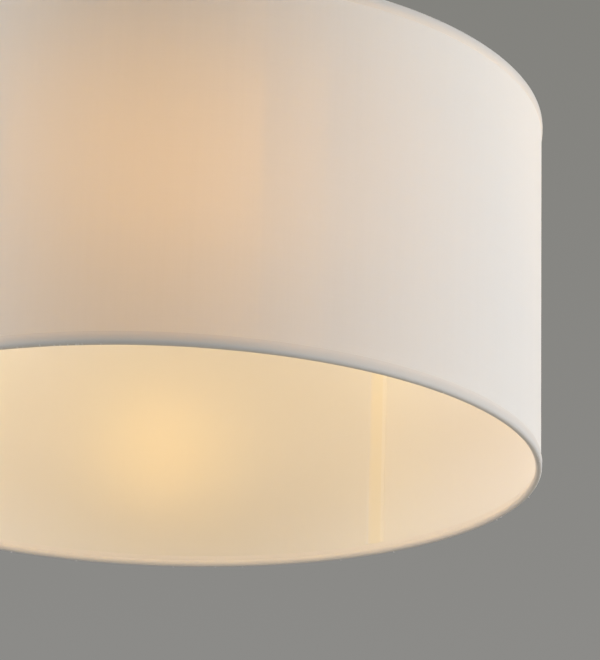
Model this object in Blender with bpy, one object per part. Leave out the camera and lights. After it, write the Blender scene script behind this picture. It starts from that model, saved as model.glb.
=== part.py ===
"""Pendant light: a drum shade on wire rings, a threaded holder and a screw-in lamp.

Metres, +Z up. The origin is the centre of the cord entry, on the flat top of
the cord gland, and everything hangs below it. Three sub-assemblies have a frame
of their own, an empty at their level: the shade measures up from its lower edge,
and the lamp measures down from the tip of its contact.
"""

import math

import bmesh
import bpy
from mathutils import Vector

# Clearances and mesh fineness
GAP = 0.0003
CLOTH_GAP = 0.00025
OVERRUN = 0.002
MERGE_DISTANCE = 0.00001
SHADE_FACETS = 60
HOLDER_FACETS = 36
LAMP_FACETS = 32
SMALL_FACETS = 24
PIN_FACETS = 12

# Shade
SHADE_DIAMETER = 0.450
SHADE_HEIGHT = 0.2205
FABRIC_THICKNESS = 0.0004
LINER_THICKNESS = 0.00035
SEAM_AZIMUTH = math.radians(52.4)
SEAM_OVERLAP = 0.0122
SEAM_STEP = 0.0015
SEAM_TRIM = 0.0015
SEAM_TAPE_THICKNESS = 0.0002
SEAM_TAPE_MARGIN = 0.0008
BUTT_SEAM_WIDTH = 0.0006
RING_WIRE_RADIUS = 0.0013
RING_WIRE_SIDES = 6
HEM_TAPE_THICKNESS = 0.0004
HEM_WIDTH = 0.0072
HEM_WRAP = math.radians(230)
HEM_WRAP_STEPS = 6

# Spider and fitter plate
ARM_COUNT = 3
FIRST_ARM_AZIMUTH = math.radians(90)
ARM_WIRE_RADIUS = 0.0015
ARM_BEND_OUTER = 0.070
ARM_BEND_INNER = 0.040
ARM_BEND_POINTS = 8
ARM_WELD_LENGTH = 0.006
ARM_NOTCH_CLEARANCE = 0.0005
PLATE_DROP = 0.012
PLATE_THICKNESS = 0.0015
PLATE_HOLE_CLEARANCE = 0.0013
PLATE_BAND = 0.012

# Cord gland
CORD_BORE_DIAMETER = 0.007
GLAND_HEAD_WALL = 0.00425
GLAND_HEAD_HEIGHT = 0.009
GLAND_CHAMFER = 0.0008
GLAND_SHANK_WALL = 0.0015
LOCKNUT_BAND = 0.0017
LOCKNUT_HEIGHT = 0.0025
CLAMP_SCREW_DIAMETER = 0.0028
CLAMP_SCREW_SOCKET_DEPTH = 0.0012
CLAMP_SCREW_SLOT_WIDTH = 0.0006

# Holder cap
CAP_DIAMETER = 0.041
CAP_HEIGHT = 0.022
CAP_WALL = 0.002
CAP_FLAT_RADIUS = 0.0095
CAP_DOME_HEIGHT = 0.011
CAP_DOME_STEPS = 5
CAP_NECK_LENGTH = 0.006

# Holder skirt and shade ring
SKIRT_LENGTH = 0.045
SKIRT_WELL_CLEARANCE = 0.0028
SKIRT_THREAD_WALL = 0.003
SKIRT_COLLAR_WALL = 0.0027
SKIRT_FLANGE_CLEARANCE = 0.002
SKIRT_FLANGE_THICKNESS = 0.003
SKIRT_LIP_CLEARANCE = 0.0013
SKIRT_LIP_THICKNESS = 0.002
SKIRT_CHAMFER = 0.0007
PLATE_SEAT_HEIGHT = 0.0205
SHADE_RING_WALL = 0.006
SHADE_RING_HEIGHT = 0.006
SHADE_RING_GRIP_DEPTH = 0.0008
SHADE_RING_GRIPS = 18

# Contacts
INSERT_FLANGE_THICKNESS = 0.0024
INSERT_TOP_HEIGHT = 0.002
INSERT_BOSS_HEIGHT = 0.0045
SHELL_INNER_DIAMETER = 0.027
SHELL_WALL = 0.0004
TERMINAL_OFFSET = 0.009
TERMINAL_LENGTH = 0.006
TERMINAL_WIDTH = 0.005
TERMINAL_HEIGHT = 0.005
STRAP_THICKNESS = 0.0007
STRAP_CONTACT_LENGTH = 0.006
TERMINAL_SCREW_DIAMETER = 0.0024
TERMINAL_SCREW_DEPTH = 0.004
TERMINAL_HEAD_DIAMETER = 0.0046
TERMINAL_HEAD_HEIGHT = 0.0015
TERMINAL_SLOT_WIDTH = 0.0006
LEAF_THICKNESS = 0.0005
LEAF_WIDTH = 0.004
LEAF_PAD_LENGTH = 0.005
LEAF_DROP = 0.0022

# Lamp
LAMP_LENGTH = 0.106
LAMP_DIAMETER = 0.060
GLASS_THICKNESS = 0.0008
GLASS_SHOULDER_ANGLE = math.radians(38)
GLASS_SHOULDER_PULL = 0.011
GLASS_SHOULDER_STEPS = 6
GLASS_SPHERE_STEPS = 7
LAMP_CAP_DIAMETER = 0.0262
LAMP_CAP_WALL = 0.00035
LAMP_CAP_LENGTH = 0.025
LAMP_CAP_BEVEL = 0.002
LAMP_CAP_RIM = 0.0007
GLASS_NECK_DEPTH = 0.008
INSULATOR_HEIGHT = 0.005
INSULATOR_DIAMETER = 0.0212
INSULATOR_TOP_DIAMETER = 0.011
INSULATOR_RIM_HEIGHT = 0.0013
TIP_DIAMETER = 0.0095
TIP_HEIGHT = 0.0012
TIP_CROWN = 0.0006
TIP_SHANK_DIAMETER = 0.003
BOARD_DEPTH = 0.009
BOARD_THICKNESS = 0.0012
STEM_FLARE_THICKNESS = 0.0012
STEM_FLARE_HEIGHT = 0.0085
STEM_FLARE_NECK_RADIUS = 0.0045
STEM_TAPER_HEIGHT = 0.004
STEM_RADIUS = 0.003
CARRIER_THICKNESS = 0.0006
CARRIER_HUB_RADIUS = 0.0052
CARRIER_REACH = 0.0095
CARRIER_UPPER_DEPTH = 0.050
FILAMENT_COUNT = 4
STEM_CLEARANCE = 0.0159
FILAMENT_RADIUS = 0.0009
FILAMENT_CIRCLE_RADIUS = 0.008
LEAD_RADIUS = 0.0004
LEAD_OFFSET = 0.006

# Finishes: colour, roughness, metallic
WHITE_FABRIC = ((0.86, 0.84, 0.80), 0.85, 0.0)
WARM_LINER = ((0.90, 0.86, 0.78), 0.40, 0.0)
HEM_CLOTH = ((0.80, 0.77, 0.73), 0.80, 0.0)
CLEAR_ADHESIVE = ((0.85, 0.80, 0.62), 0.35, 0.0)
WHITE_ENAMEL = ((0.82, 0.81, 0.79), 0.35, 0.0)
WHITE_MOULDING = ((0.84, 0.83, 0.80), 0.42, 0.0)
CREAM_CERAMIC = ((0.80, 0.76, 0.68), 0.30, 0.0)
BRIGHT_STEEL = ((0.62, 0.61, 0.59), 0.30, 1.0)
BRASS = ((0.78, 0.58, 0.28), 0.30, 1.0)
NICKEL = ((0.70, 0.68, 0.64), 0.25, 1.0)
OPAL_GLASS = ((0.93, 0.91, 0.86), 0.25, 0.0)
CLEAR_GLASS = ((0.88, 0.91, 0.90), 0.05, 0.0)
BLACK_GLASS = ((0.03, 0.03, 0.035), 0.20, 0.0)
SOLDER = ((0.60, 0.60, 0.60), 0.40, 1.0)
GREEN_BOARD = ((0.06, 0.24, 0.10), 0.50, 0.0)
YELLOW_PHOSPHOR = ((0.90, 0.62, 0.12), 0.60, 0.0)

# Shade walls, from the outside in
SHADE_RADIUS = SHADE_DIAMETER / 2
FABRIC_OUTER = SHADE_RADIUS - HEM_TAPE_THICKNESS - CLOTH_GAP
FABRIC_INNER = FABRIC_OUTER - FABRIC_THICKNESS
LINER_OUTER = FABRIC_INNER - CLOTH_GAP
LINER_INNER = LINER_OUTER - LINER_THICKNESS
HEM_FLAP_OUTER = LINER_INNER - CLOTH_GAP
HEM_FLAP_INNER = HEM_FLAP_OUTER - HEM_TAPE_THICKNESS
SEAM_TAPE_OUTER = LINER_INNER - CLOTH_GAP
SEAM_TAPE_INNER = SEAM_TAPE_OUTER - SEAM_TAPE_THICKNESS
TONGUE_OUTER = SEAM_TAPE_INNER - CLOTH_GAP
TONGUE_INNER = TONGUE_OUTER - LINER_THICKNESS
RIM_RADIUS = RING_WIRE_RADIUS + CLOTH_GAP + HEM_TAPE_THICKNESS
RIM_CENTRE_RADIUS = SHADE_RADIUS - RIM_RADIUS
PANEL_EDGE = RIM_RADIUS + RING_WIRE_RADIUS + GAP

# Levels of the holder, from the cord gland down
CAP_TOP = -GLAND_HEAD_HEIGHT - GAP
CAP_EDGE = CAP_TOP - CAP_HEIGHT
CAP_NECK_END = CAP_EDGE - CAP_NECK_LENGTH
SKIRT_TOP = CAP_EDGE - GAP
SKIRT_END = SKIRT_TOP - SKIRT_LENGTH
INSERT_FLANGE_TOP = CAP_NECK_END - GAP
INSERT_FLANGE_END = INSERT_FLANGE_TOP - INSERT_FLANGE_THICKNESS
INSERT_TOP = INSERT_FLANGE_TOP + INSERT_TOP_HEIGHT
INSERT_BOSS_END = INSERT_FLANGE_END - INSERT_BOSS_HEIGHT
TERMINAL_SEAT = INSERT_TOP + GAP
LEAF_ROOT = INSERT_BOSS_END - GAP
LEAF_PAD = LEAF_ROOT - LEAF_DROP
LAMP_TIP = LEAF_PAD - LEAF_THICKNESS - GAP

# Levels of the shade
PLATE_UNDERSIDE = SKIRT_END + PLATE_SEAT_HEIGHT
PLATE_TOP = PLATE_UNDERSIDE + PLATE_THICKNESS
SKIRT_FLANGE_END = PLATE_TOP + GAP
SHADE_TOP = PLATE_TOP + PLATE_DROP
SHADE_BOTTOM = SHADE_TOP - SHADE_HEIGHT

# Radii of the holder and of the fitter that it carries
CAP_RADIUS = CAP_DIAMETER / 2
CORD_BORE_RADIUS = CORD_BORE_DIAMETER / 2
GLAND_RADIUS = CORD_BORE_RADIUS + GLAND_HEAD_WALL
GLAND_SHANK_RADIUS = CORD_BORE_RADIUS + GLAND_SHANK_WALL
GLAND_HOLE_RADIUS = GLAND_SHANK_RADIUS + GAP
SKIRT_BORE_RADIUS = CAP_RADIUS - SKIRT_COLLAR_WALL
CAP_NECK_RADIUS = SKIRT_BORE_RADIUS - GAP
CAP_NECK_BORE = CAP_NECK_RADIUS - CAP_WALL
SHELL_INNER = SHELL_INNER_DIAMETER / 2
SHELL_OUTER = SHELL_INNER + SHELL_WALL
SKIRT_WELL_RADIUS = SHELL_OUTER + SKIRT_WELL_CLEARANCE
SKIRT_LIP_RADIUS = SHELL_OUTER + SKIRT_LIP_CLEARANCE
THREAD_RADIUS = SKIRT_WELL_RADIUS + SKIRT_THREAD_WALL
PLATE_HOLE_RADIUS = THREAD_RADIUS + PLATE_HOLE_CLEARANCE
PLATE_RADIUS = PLATE_HOLE_RADIUS + PLATE_BAND
ARM_INNER_END = PLATE_RADIUS - ARM_WELD_LENGTH
SKIRT_FLANGE_RADIUS = ARM_INNER_END - SKIRT_FLANGE_CLEARANCE
INSERT_BOSS_RADIUS = SHELL_INNER - GAP
INSERT_TOP_RADIUS = CAP_NECK_BORE - GAP
INSERT_FLANGE_RADIUS = SKIRT_BORE_RADIUS - GAP
STRAP_INNER = SHELL_OUTER + GAP
STRAP_OUTER = STRAP_INNER + STRAP_THICKNESS
LEG_OUTER = TERMINAL_OFFSET + STRAP_THICKNESS / 2
LEG_INNER = LEG_OUTER - STRAP_THICKNESS

# Radii and depths of the lamp
LAMP_RADIUS = LAMP_DIAMETER / 2
LAMP_CAP_OUTER = LAMP_CAP_DIAMETER / 2
LAMP_CAP_INNER = LAMP_CAP_OUTER - LAMP_CAP_WALL
GLASS_NECK_RADIUS = LAMP_CAP_INNER - GAP
BOARD_RADIUS = LAMP_CAP_INNER - GAP
STEM_FLARE_RADIUS = GLASS_NECK_RADIUS - GLASS_THICKNESS - GAP
INSULATOR_RADIUS = INSULATOR_DIAMETER / 2
LAMP_CAP_MOUTH = INSULATOR_RADIUS + GAP
TIP_SHANK_RADIUS = TIP_SHANK_DIAMETER / 2
INSULATOR_TOP = TIP_HEIGHT + GAP
INSULATOR_END = INSULATOR_TOP + INSULATOR_HEIGHT
LAMP_CAP_TOP = INSULATOR_END - INSULATOR_RIM_HEIGHT - LAMP_CAP_WALL
GLASS_TOP = LAMP_CAP_LENGTH - GLASS_NECK_DEPTH
STEM_TOP = GLASS_TOP + STEM_FLARE_THICKNESS
FILAMENT_TOP = CARRIER_UPPER_DEPTH + CARRIER_THICKNESS + GAP
STEM_END = LAMP_LENGTH - STEM_CLEARANCE
CARRIER_LOWER_DEPTH = STEM_END - GAP - CARRIER_THICKNESS
FILAMENT_END = CARRIER_LOWER_DEPTH - GAP
LEAD_TOP = BOARD_DEPTH + BOARD_THICKNESS + GAP
LEAD_END = CARRIER_UPPER_DEPTH - GAP


def clear_scene():
    """Remove every object, so that the model starts from nothing."""
    for item in list(bpy.data.objects):
        bpy.data.objects.remove(item, do_unlink=True)


def frame(name, level, parent=None):
    """Empty on the lamp's axis that carries one sub-assembly."""
    empty = bpy.data.objects.new(name, None)
    bpy.context.scene.collection.objects.link(empty)
    empty.parent = parent
    empty.location.z = level
    return empty


def finished_material(name, finish):
    """Principled material from a (colour, roughness, metallic) finish."""
    colour, roughness, metallic = finish
    material = bpy.data.materials.new(name + "_finish")
    material.use_nodes = True
    shader = material.node_tree.nodes["Principled BSDF"]
    shader.inputs["Base Color"].default_value = (*colour, 1.0)
    shader.inputs["Roughness"].default_value = roughness
    shader.inputs["Metallic"].default_value = metallic
    material.diffuse_color = (*colour, 1.0)
    return material


def place(name, data, finish, parent=None, location=(0, 0, 0), turn=0):
    """Link a mesh or curve as a named piece with its own material."""
    piece = bpy.data.objects.new(name, data)
    bpy.context.scene.collection.objects.link(piece)
    piece.parent = parent
    piece.location = location
    piece.rotation_euler.z = turn
    data.materials.append(finished_material(name, finish))
    return piece


def mesh_from(bm, name):
    """Turn a bmesh into a smooth-shaded mesh with its normals outward."""
    bmesh.ops.remove_doubles(bm, verts=bm.verts, dist=MERGE_DISTANCE)
    bmesh.ops.recalc_face_normals(bm, faces=bm.faces)
    mesh = bpy.data.meshes.new(name)
    bm.to_mesh(mesh)
    bm.free()
    mesh.shade_smooth()
    mesh.set_sharp_from_angle(angle=math.radians(35))
    return mesh


def lathe(name, outline, facets, closed=True):
    """Mesh turned about Z from (radius, height) points.

    An outline that is not closed starts and ends on the axis.
    """
    bm = bmesh.new()
    verts = [bm.verts.new((radius, 0, height)) for radius, height in outline]
    edges = [bm.edges.new(pair) for pair in zip(verts, verts[1:])]
    if closed:
        edges.append(bm.edges.new((verts[-1], verts[0])))
    bmesh.ops.spin(
        bm,
        geom=verts + edges,
        cent=(0, 0, 0),
        axis=(0, 0, 1),
        angle=math.tau,
        steps=facets,
        use_merge=True,
    )
    return mesh_from(bm, name)


def lobed_ring(name, outer_radii, inner_radius, low, high):
    """Flat ring whose outer radius is given for each of its corners."""
    bm = bmesh.new()
    loops = []
    for level in (low, high):
        for radii in (outer_radii, [inner_radius] * len(outer_radii)):
            loop = []
            for corner, radius in enumerate(radii):
                azimuth = math.tau * corner / len(radii)
                spot = (radius * math.cos(azimuth), radius * math.sin(azimuth), level)
                loop.append(bm.verts.new(spot))
            loops.append(loop)
    low_outer, low_inner, high_outer, high_inner = loops
    around = (low_outer, high_outer, high_inner, low_inner)
    for one, other in zip(around, around[1:] + around[:1]):
        for corner in range(len(one)):
            following = (corner + 1) % len(one)
            bm.faces.new((one[corner], one[following], other[following], other[corner]))
    return mesh_from(bm, name)


def prism(name, outline, width):
    """Mesh with an (x, z) outline, extruded along Y about its middle."""
    bm = bmesh.new()
    verts = [bm.verts.new((x, -width / 2, z)) for x, z in outline]
    face = bm.faces.new(verts)
    grown = bmesh.ops.extrude_face_region(bm, geom=[face])
    moved = [item for item in grown["geom"] if isinstance(item, bmesh.types.BMVert)]
    bmesh.ops.translate(bm, verts=moved, vec=(0, width, 0))
    return mesh_from(bm, name)


def rod(name, radius, low, high, facets):
    """Plain round bar along Z."""
    outline = [(0, low), (radius, low), (radius, high), (0, high)]
    return lathe(name, outline, facets, closed=False)


def cut(piece, cutters):
    """Subtract each cutter from a piece."""
    for cutter in cutters:
        cutter.hide_render = True
        cutter.display_type = "WIRE"
        boolean = piece.modifiers.new("cut_" + cutter.name, "BOOLEAN")
        boolean.operation = "DIFFERENCE"
        boolean.solver = "EXACT"
        boolean.object = cutter


def cutter_block(name, low, high, parent=None, turn=0):
    """Box for cutting, given by its two corners and turned about Z."""
    bm = bmesh.new()
    bmesh.ops.create_cube(bm, size=1)
    size = Vector(high) - Vector(low)
    middle = (Vector(high) + Vector(low)) / 2
    bmesh.ops.scale(bm, verts=bm.verts, vec=size)
    bmesh.ops.translate(bm, verts=bm.verts, vec=middle)
    block = bpy.data.objects.new(name, mesh_from(bm, name))
    bpy.context.scene.collection.objects.link(block)
    block.parent = parent
    block.rotation_euler.z = turn
    return block


def cutter_bar(name, radius, length, location, tilt=0, parent=None):
    """Round bar for cutting, centred on its location and tilted about Y."""
    mesh = rod(name, radius, -length / 2, length / 2, PIN_FACETS)
    bar = bpy.data.objects.new(name, mesh)
    bpy.context.scene.collection.objects.link(bar)
    bar.parent = parent
    bar.location = location
    bar.rotation_euler.y = tilt
    return bar


def on_facet(radius, azimuth):
    """Radius of the shade's faceted wall at an azimuth between two corners."""
    half_step = math.pi / SHADE_FACETS
    offset = azimuth % (2 * half_step) - half_step
    return radius * math.cos(half_step) / math.cos(offset)


def azimuths(start, end):
    """Azimuths from start down to end, with every wall corner between them."""
    step = math.tau / SHADE_FACETS
    corners = []
    corner = math.ceil(start / step) - 1
    while corner * step > end:
        corners.append(corner * step)
        corner -= 1
    return [start, *corners, end]


def strip(name, stations):
    """Bent strip from (azimuth, outer radius, inner radius, low, high) stations."""
    bm = bmesh.new()
    sections = []
    for azimuth, outer, inner, low, high in stations:
        direction = Vector((math.cos(azimuth), math.sin(azimuth), 0))
        section = []
        for radius, height in ((outer, low), (outer, high), (inner, high), (inner, low)):
            spot = direction * on_facet(radius, azimuth) + Vector((0, 0, height))
            section.append(bm.verts.new(spot))
        sections.append(section)
    for one, other in zip(sections, sections[1:]):
        for side in range(len(one)):
            following = (side + 1) % len(one)
            bm.faces.new((one[side], one[following], other[following], other[side]))
    bm.faces.new(sections[0])
    bm.faces.new(reversed(sections[-1]))
    return mesh_from(bm, name)


def build_panels(shade):
    """Fabric cover, liner with its lapped end, and the adhesive in the lap."""
    low, high = PANEL_EDGE, SHADE_HEIGHT - PANEL_EDGE
    half_seam = BUTT_SEAM_WIDTH / SHADE_DIAMETER
    fabric = []
    for azimuth in azimuths(SEAM_AZIMUTH - half_seam, SEAM_AZIMUTH + half_seam - math.tau):
        fabric.append((azimuth, FABRIC_OUTER, FABRIC_INNER, low, high))
    place("shade_fabric", strip("shade_fabric", fabric), WHITE_FABRIC, shade)

    lap_start = SEAM_AZIMUTH - math.tau
    step_start = lap_start + SEAM_STEP / SHADE_RADIUS
    trim_start = step_start + SEAM_TRIM / SHADE_RADIUS
    lap = SEAM_OVERLAP / SHADE_RADIUS
    lap_low, lap_high = HEM_WIDTH + GAP, SHADE_HEIGHT - HEM_WIDTH - GAP
    liner = []
    for azimuth in azimuths(SEAM_AZIMUTH - half_seam, trim_start):
        liner.append((azimuth, LINER_OUTER, LINER_INNER, low, high))
    liner.append((step_start, LINER_OUTER, LINER_INNER, lap_low, lap_high))
    for azimuth in azimuths(lap_start, lap_start - lap):
        liner.append((azimuth, TONGUE_OUTER, TONGUE_INNER, lap_low, lap_high))
    place("shade_liner", strip("shade_liner", liner), WARM_LINER, shade)

    margin = SEAM_TAPE_MARGIN / SHADE_RADIUS
    low, high = lap_low + SEAM_TAPE_MARGIN, lap_high - SEAM_TAPE_MARGIN
    adhesive = []
    for azimuth in azimuths(lap_start - margin, lap_start - lap + margin):
        adhesive.append((azimuth, SEAM_TAPE_OUTER, SEAM_TAPE_INNER, low, high))
    place("seam_tape", strip("seam_tape", adhesive), CLEAR_ADHESIVE, shade)


def hem_contour(wrap_radius, outer_flap, inner_flap):
    """One face of the hem tape: down the outside, round the wire, up inside."""
    points = [(outer_flap, HEM_WIDTH)]
    for index in range(HEM_WRAP_STEPS + 1):
        angle = -HEM_WRAP * index / HEM_WRAP_STEPS
        radius = RIM_CENTRE_RADIUS + wrap_radius * math.cos(angle)
        points.append((radius, RIM_RADIUS + wrap_radius * math.sin(angle)))
    last_radius, last_height = points[-1]
    points.append((inner_flap, last_height + (inner_flap - last_radius) / math.tan(HEM_WRAP)))
    points.append((inner_flap, HEM_WIDTH))
    return points


def hem_outline():
    """Section of the hem tape, as (radius, distance from the shade's edge)."""
    face = hem_contour(RIM_RADIUS, SHADE_RADIUS, HEM_FLAP_INNER)
    back = hem_contour(RIM_RADIUS - HEM_TAPE_THICKNESS, SHADE_RADIUS - HEM_TAPE_THICKNESS, HEM_FLAP_OUTER)
    return face + back[::-1]


def ring_wire_outline(level):
    """Round section of a ring wire at a level of the shade."""
    outline = []
    for side in range(RING_WIRE_SIDES):
        angle = math.tau * side / RING_WIRE_SIDES
        radius = RIM_CENTRE_RADIUS + RING_WIRE_RADIUS * math.cos(angle)
        outline.append((radius, level + RING_WIRE_RADIUS * math.sin(angle)))
    return outline


def arm_azimuths():
    """Azimuth of each spider arm."""
    return [FIRST_ARM_AZIMUTH + math.tau * index / ARM_COUNT for index in range(ARM_COUNT)]


def build_rims(shade):
    """Wire ring and rolled hem tape at each edge of the shade."""
    upper_level = SHADE_HEIGHT - RIM_RADIUS
    for name, level in (("bottom_ring_wire", RIM_RADIUS), ("top_ring_wire", upper_level)):
        place(name, lathe(name, ring_wire_outline(level), SHADE_FACETS), BRIGHT_STEEL, shade)

    lower = hem_outline()
    upper = [(radius, SHADE_HEIGHT - height) for radius, height in lower]
    place("bottom_hem_tape", lathe("bottom_hem_tape", lower, SHADE_FACETS), HEM_CLOTH, shade)
    top_tape = place("top_hem_tape", lathe("top_hem_tape", upper, SHADE_FACETS), HEM_CLOTH, shade)

    reach = RIM_CENTRE_RADIUS - RIM_RADIUS - OVERRUN
    half_width = ARM_WIRE_RADIUS + ARM_NOTCH_CLEARANCE
    notch_low = (reach, -half_width, SHADE_HEIGHT - HEM_WIDTH - OVERRUN)
    notch_high = (HEM_FLAP_OUTER + CLOTH_GAP / 2, half_width, SHADE_HEIGHT + OVERRUN)
    notches = []
    for index, azimuth in enumerate(arm_azimuths()):
        notches.append(cutter_block("arm_notch_%d" % (index + 1), notch_low, notch_high, shade, azimuth))
    cut(top_tape, notches)


def arm_route():
    """Centre line of a spider arm, as (radius, height above the shade's edge)."""
    ring_level = SHADE_HEIGHT - RIM_RADIUS
    plate_level = SHADE_HEIGHT - PLATE_DROP + GAP + ARM_WIRE_RADIUS
    outer_end = RIM_CENTRE_RADIUS - RING_WIRE_RADIUS - GAP
    route = [(outer_end, ring_level)]
    for index in range(ARM_BEND_POINTS + 1):
        share = index / ARM_BEND_POINTS
        radius = ARM_BEND_OUTER + (ARM_BEND_INNER - ARM_BEND_OUTER) * share
        fall = (1 - math.cos(math.pi * share)) / 2
        route.append((radius, ring_level + (plate_level - ring_level) * fall))
    route.append((ARM_INNER_END, plate_level))
    return route


def build_spider(carrier, shade):
    """Three bent wire arms and the fitter plate that they are welded to."""
    route = arm_route()
    for index, azimuth in enumerate(arm_azimuths()):
        name = "spider_arm_%d" % (index + 1)
        curve = bpy.data.curves.new(name, "CURVE")
        curve.dimensions = "3D"
        curve.bevel_depth = ARM_WIRE_RADIUS
        curve.bevel_resolution = 2
        curve.use_fill_caps = True
        spline = curve.splines.new("POLY")
        spline.points.add(len(route) - 1)
        for point, (radius, height) in zip(spline.points, route):
            point.co = (radius, 0, height, 1)
            point.radius = 1
        place(name, curve, WHITE_ENAMEL, shade, turn=azimuth)

    outline = [
        (PLATE_HOLE_RADIUS, 0),
        (PLATE_RADIUS, 0),
        (PLATE_RADIUS, PLATE_THICKNESS),
        (PLATE_HOLE_RADIUS, PLATE_THICKNESS),
    ]
    place("fitter_plate", lathe("fitter_plate", outline, HOLDER_FACETS), WHITE_ENAMEL, carrier)


def build_gland():
    """Cord gland with its locknut and the small screw that clamps the cord."""
    nut_top = CAP_TOP - CAP_WALL - GAP
    nut_end = nut_top - LOCKNUT_HEIGHT
    shank_end = nut_end - GAP
    head_end = CAP_TOP + GAP
    outline = [
        (CORD_BORE_RADIUS + GLAND_CHAMFER / 2, 0),
        (GLAND_RADIUS - GLAND_CHAMFER, 0),
        (GLAND_RADIUS, -GLAND_CHAMFER),
        (GLAND_RADIUS, head_end),
        (GLAND_SHANK_RADIUS, head_end),
        (GLAND_SHANK_RADIUS, shank_end),
        (CORD_BORE_RADIUS, shank_end),
        (CORD_BORE_RADIUS, -GLAND_CHAMFER / 2),
    ]
    gland = place("cord_gland", lathe("cord_gland", outline, SMALL_FACETS), WHITE_MOULDING)

    screw_radius = CLAMP_SCREW_DIAMETER / 2
    level = head_end / 2
    bore_length = 2 * (GLAND_RADIUS - CORD_BORE_RADIUS) + OVERRUN
    bore_middle = (GLAND_RADIUS, 0, level)
    bore = cutter_bar("clamp_screw_bore", screw_radius + GAP, bore_length, bore_middle, math.radians(90))
    cut(gland, [bore])

    length = GLAND_RADIUS - CORD_BORE_RADIUS - GAP
    screw = place(
        "cord_clamp_screw",
        rod("cord_clamp_screw", screw_radius, -length / 2, length / 2, PIN_FACETS),
        WHITE_MOULDING,
        location=(CORD_BORE_RADIUS + GAP + length / 2, 0, level),
    )
    screw.rotation_euler.y = math.radians(90)
    half_slot = CLAMP_SCREW_SLOT_WIDTH / 2
    slot_floor = length / 2 - CLAMP_SCREW_SOCKET_DEPTH
    slot = cutter_block(
        "clamp_screw_slot",
        (-screw_radius - OVERRUN, -half_slot, slot_floor),
        (screw_radius + OVERRUN, half_slot, length / 2 + OVERRUN),
        screw,
    )
    cut(screw, [slot])

    nut_bore = GLAND_SHANK_RADIUS + GAP
    flats = []
    for corner in range(SMALL_FACETS):
        turn = math.tau * corner / SMALL_FACETS % math.radians(60) - math.radians(30)
        flats.append((nut_bore + LOCKNUT_BAND) / math.cos(turn))
    nut = lobed_ring("gland_locknut", flats, nut_bore, nut_end, nut_top)
    place("gland_locknut", nut, BRIGHT_STEEL)


def dome_arc(flat_radius, edge_radius, top, drop):
    """Quarter ellipse from the cap's flat top out and down to its straight side."""
    points = []
    for index in range(CAP_DOME_STEPS + 1):
        angle = math.pi / 2 * index / CAP_DOME_STEPS
        radius = flat_radius + (edge_radius - flat_radius) * math.sin(angle)
        points.append((radius, top - drop * (1 - math.cos(angle))))
    return points


def build_cap():
    """Domed upper half of the holder, with a neck that fits inside the skirt."""
    outline = [(GLAND_HOLE_RADIUS, CAP_TOP)]
    outline += dome_arc(CAP_FLAT_RADIUS, CAP_RADIUS, CAP_TOP, CAP_DOME_HEIGHT)
    outline += [
        (CAP_RADIUS, CAP_EDGE),
        (CAP_NECK_RADIUS, CAP_EDGE),
        (CAP_NECK_RADIUS, CAP_NECK_END),
        (CAP_NECK_BORE, CAP_NECK_END),
        (CAP_NECK_BORE, CAP_EDGE + CAP_WALL),
        (CAP_RADIUS - CAP_WALL, CAP_EDGE + CAP_WALL),
    ]
    inner = dome_arc(CAP_FLAT_RADIUS, CAP_RADIUS - CAP_WALL, CAP_TOP - CAP_WALL, CAP_DOME_HEIGHT)
    outline += inner[::-1]
    outline.append((GLAND_HOLE_RADIUS, CAP_TOP - CAP_WALL))
    place("holder_cap", lathe("holder_cap", outline, HOLDER_FACETS), WHITE_MOULDING)


def build_skirt():
    """Threaded lower half of the holder, with the flange the fitter seats on."""
    flange_top = SKIRT_FLANGE_END + SKIRT_FLANGE_THICKNESS
    shoulder = INSERT_FLANGE_END - GAP
    lip_top = SKIRT_END + SKIRT_LIP_THICKNESS
    outline = [
        (SKIRT_BORE_RADIUS, SKIRT_TOP),
        (CAP_RADIUS, SKIRT_TOP),
        (CAP_RADIUS, flange_top),
        (SKIRT_FLANGE_RADIUS - SKIRT_CHAMFER, flange_top),
        (SKIRT_FLANGE_RADIUS, flange_top - SKIRT_CHAMFER),
        (SKIRT_FLANGE_RADIUS, SKIRT_FLANGE_END),
        (THREAD_RADIUS, SKIRT_FLANGE_END),
        (THREAD_RADIUS, SKIRT_END + SKIRT_CHAMFER),
        (THREAD_RADIUS - SKIRT_CHAMFER, SKIRT_END),
        (SKIRT_LIP_RADIUS, SKIRT_END),
        (SKIRT_LIP_RADIUS, lip_top),
        (SKIRT_WELL_RADIUS, lip_top),
        (SKIRT_WELL_RADIUS, shoulder),
        (SKIRT_BORE_RADIUS, shoulder),
    ]
    place("holder_skirt", lathe("holder_skirt", outline, HOLDER_FACETS), WHITE_MOULDING)


def build_shade_ring(carrier):
    """Gripped ring that screws up the skirt and clamps the fitter plate."""
    bore = THREAD_RADIUS + GAP
    crest = bore + SHADE_RING_WALL
    root = crest - SHADE_RING_GRIP_DEPTH
    radii = [crest, crest, root, root] * SHADE_RING_GRIPS
    top = -GAP
    mesh = lobed_ring("shade_ring", radii, bore, top - SHADE_RING_HEIGHT, top)
    place("shade_ring", mesh, WHITE_MOULDING, carrier)


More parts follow.
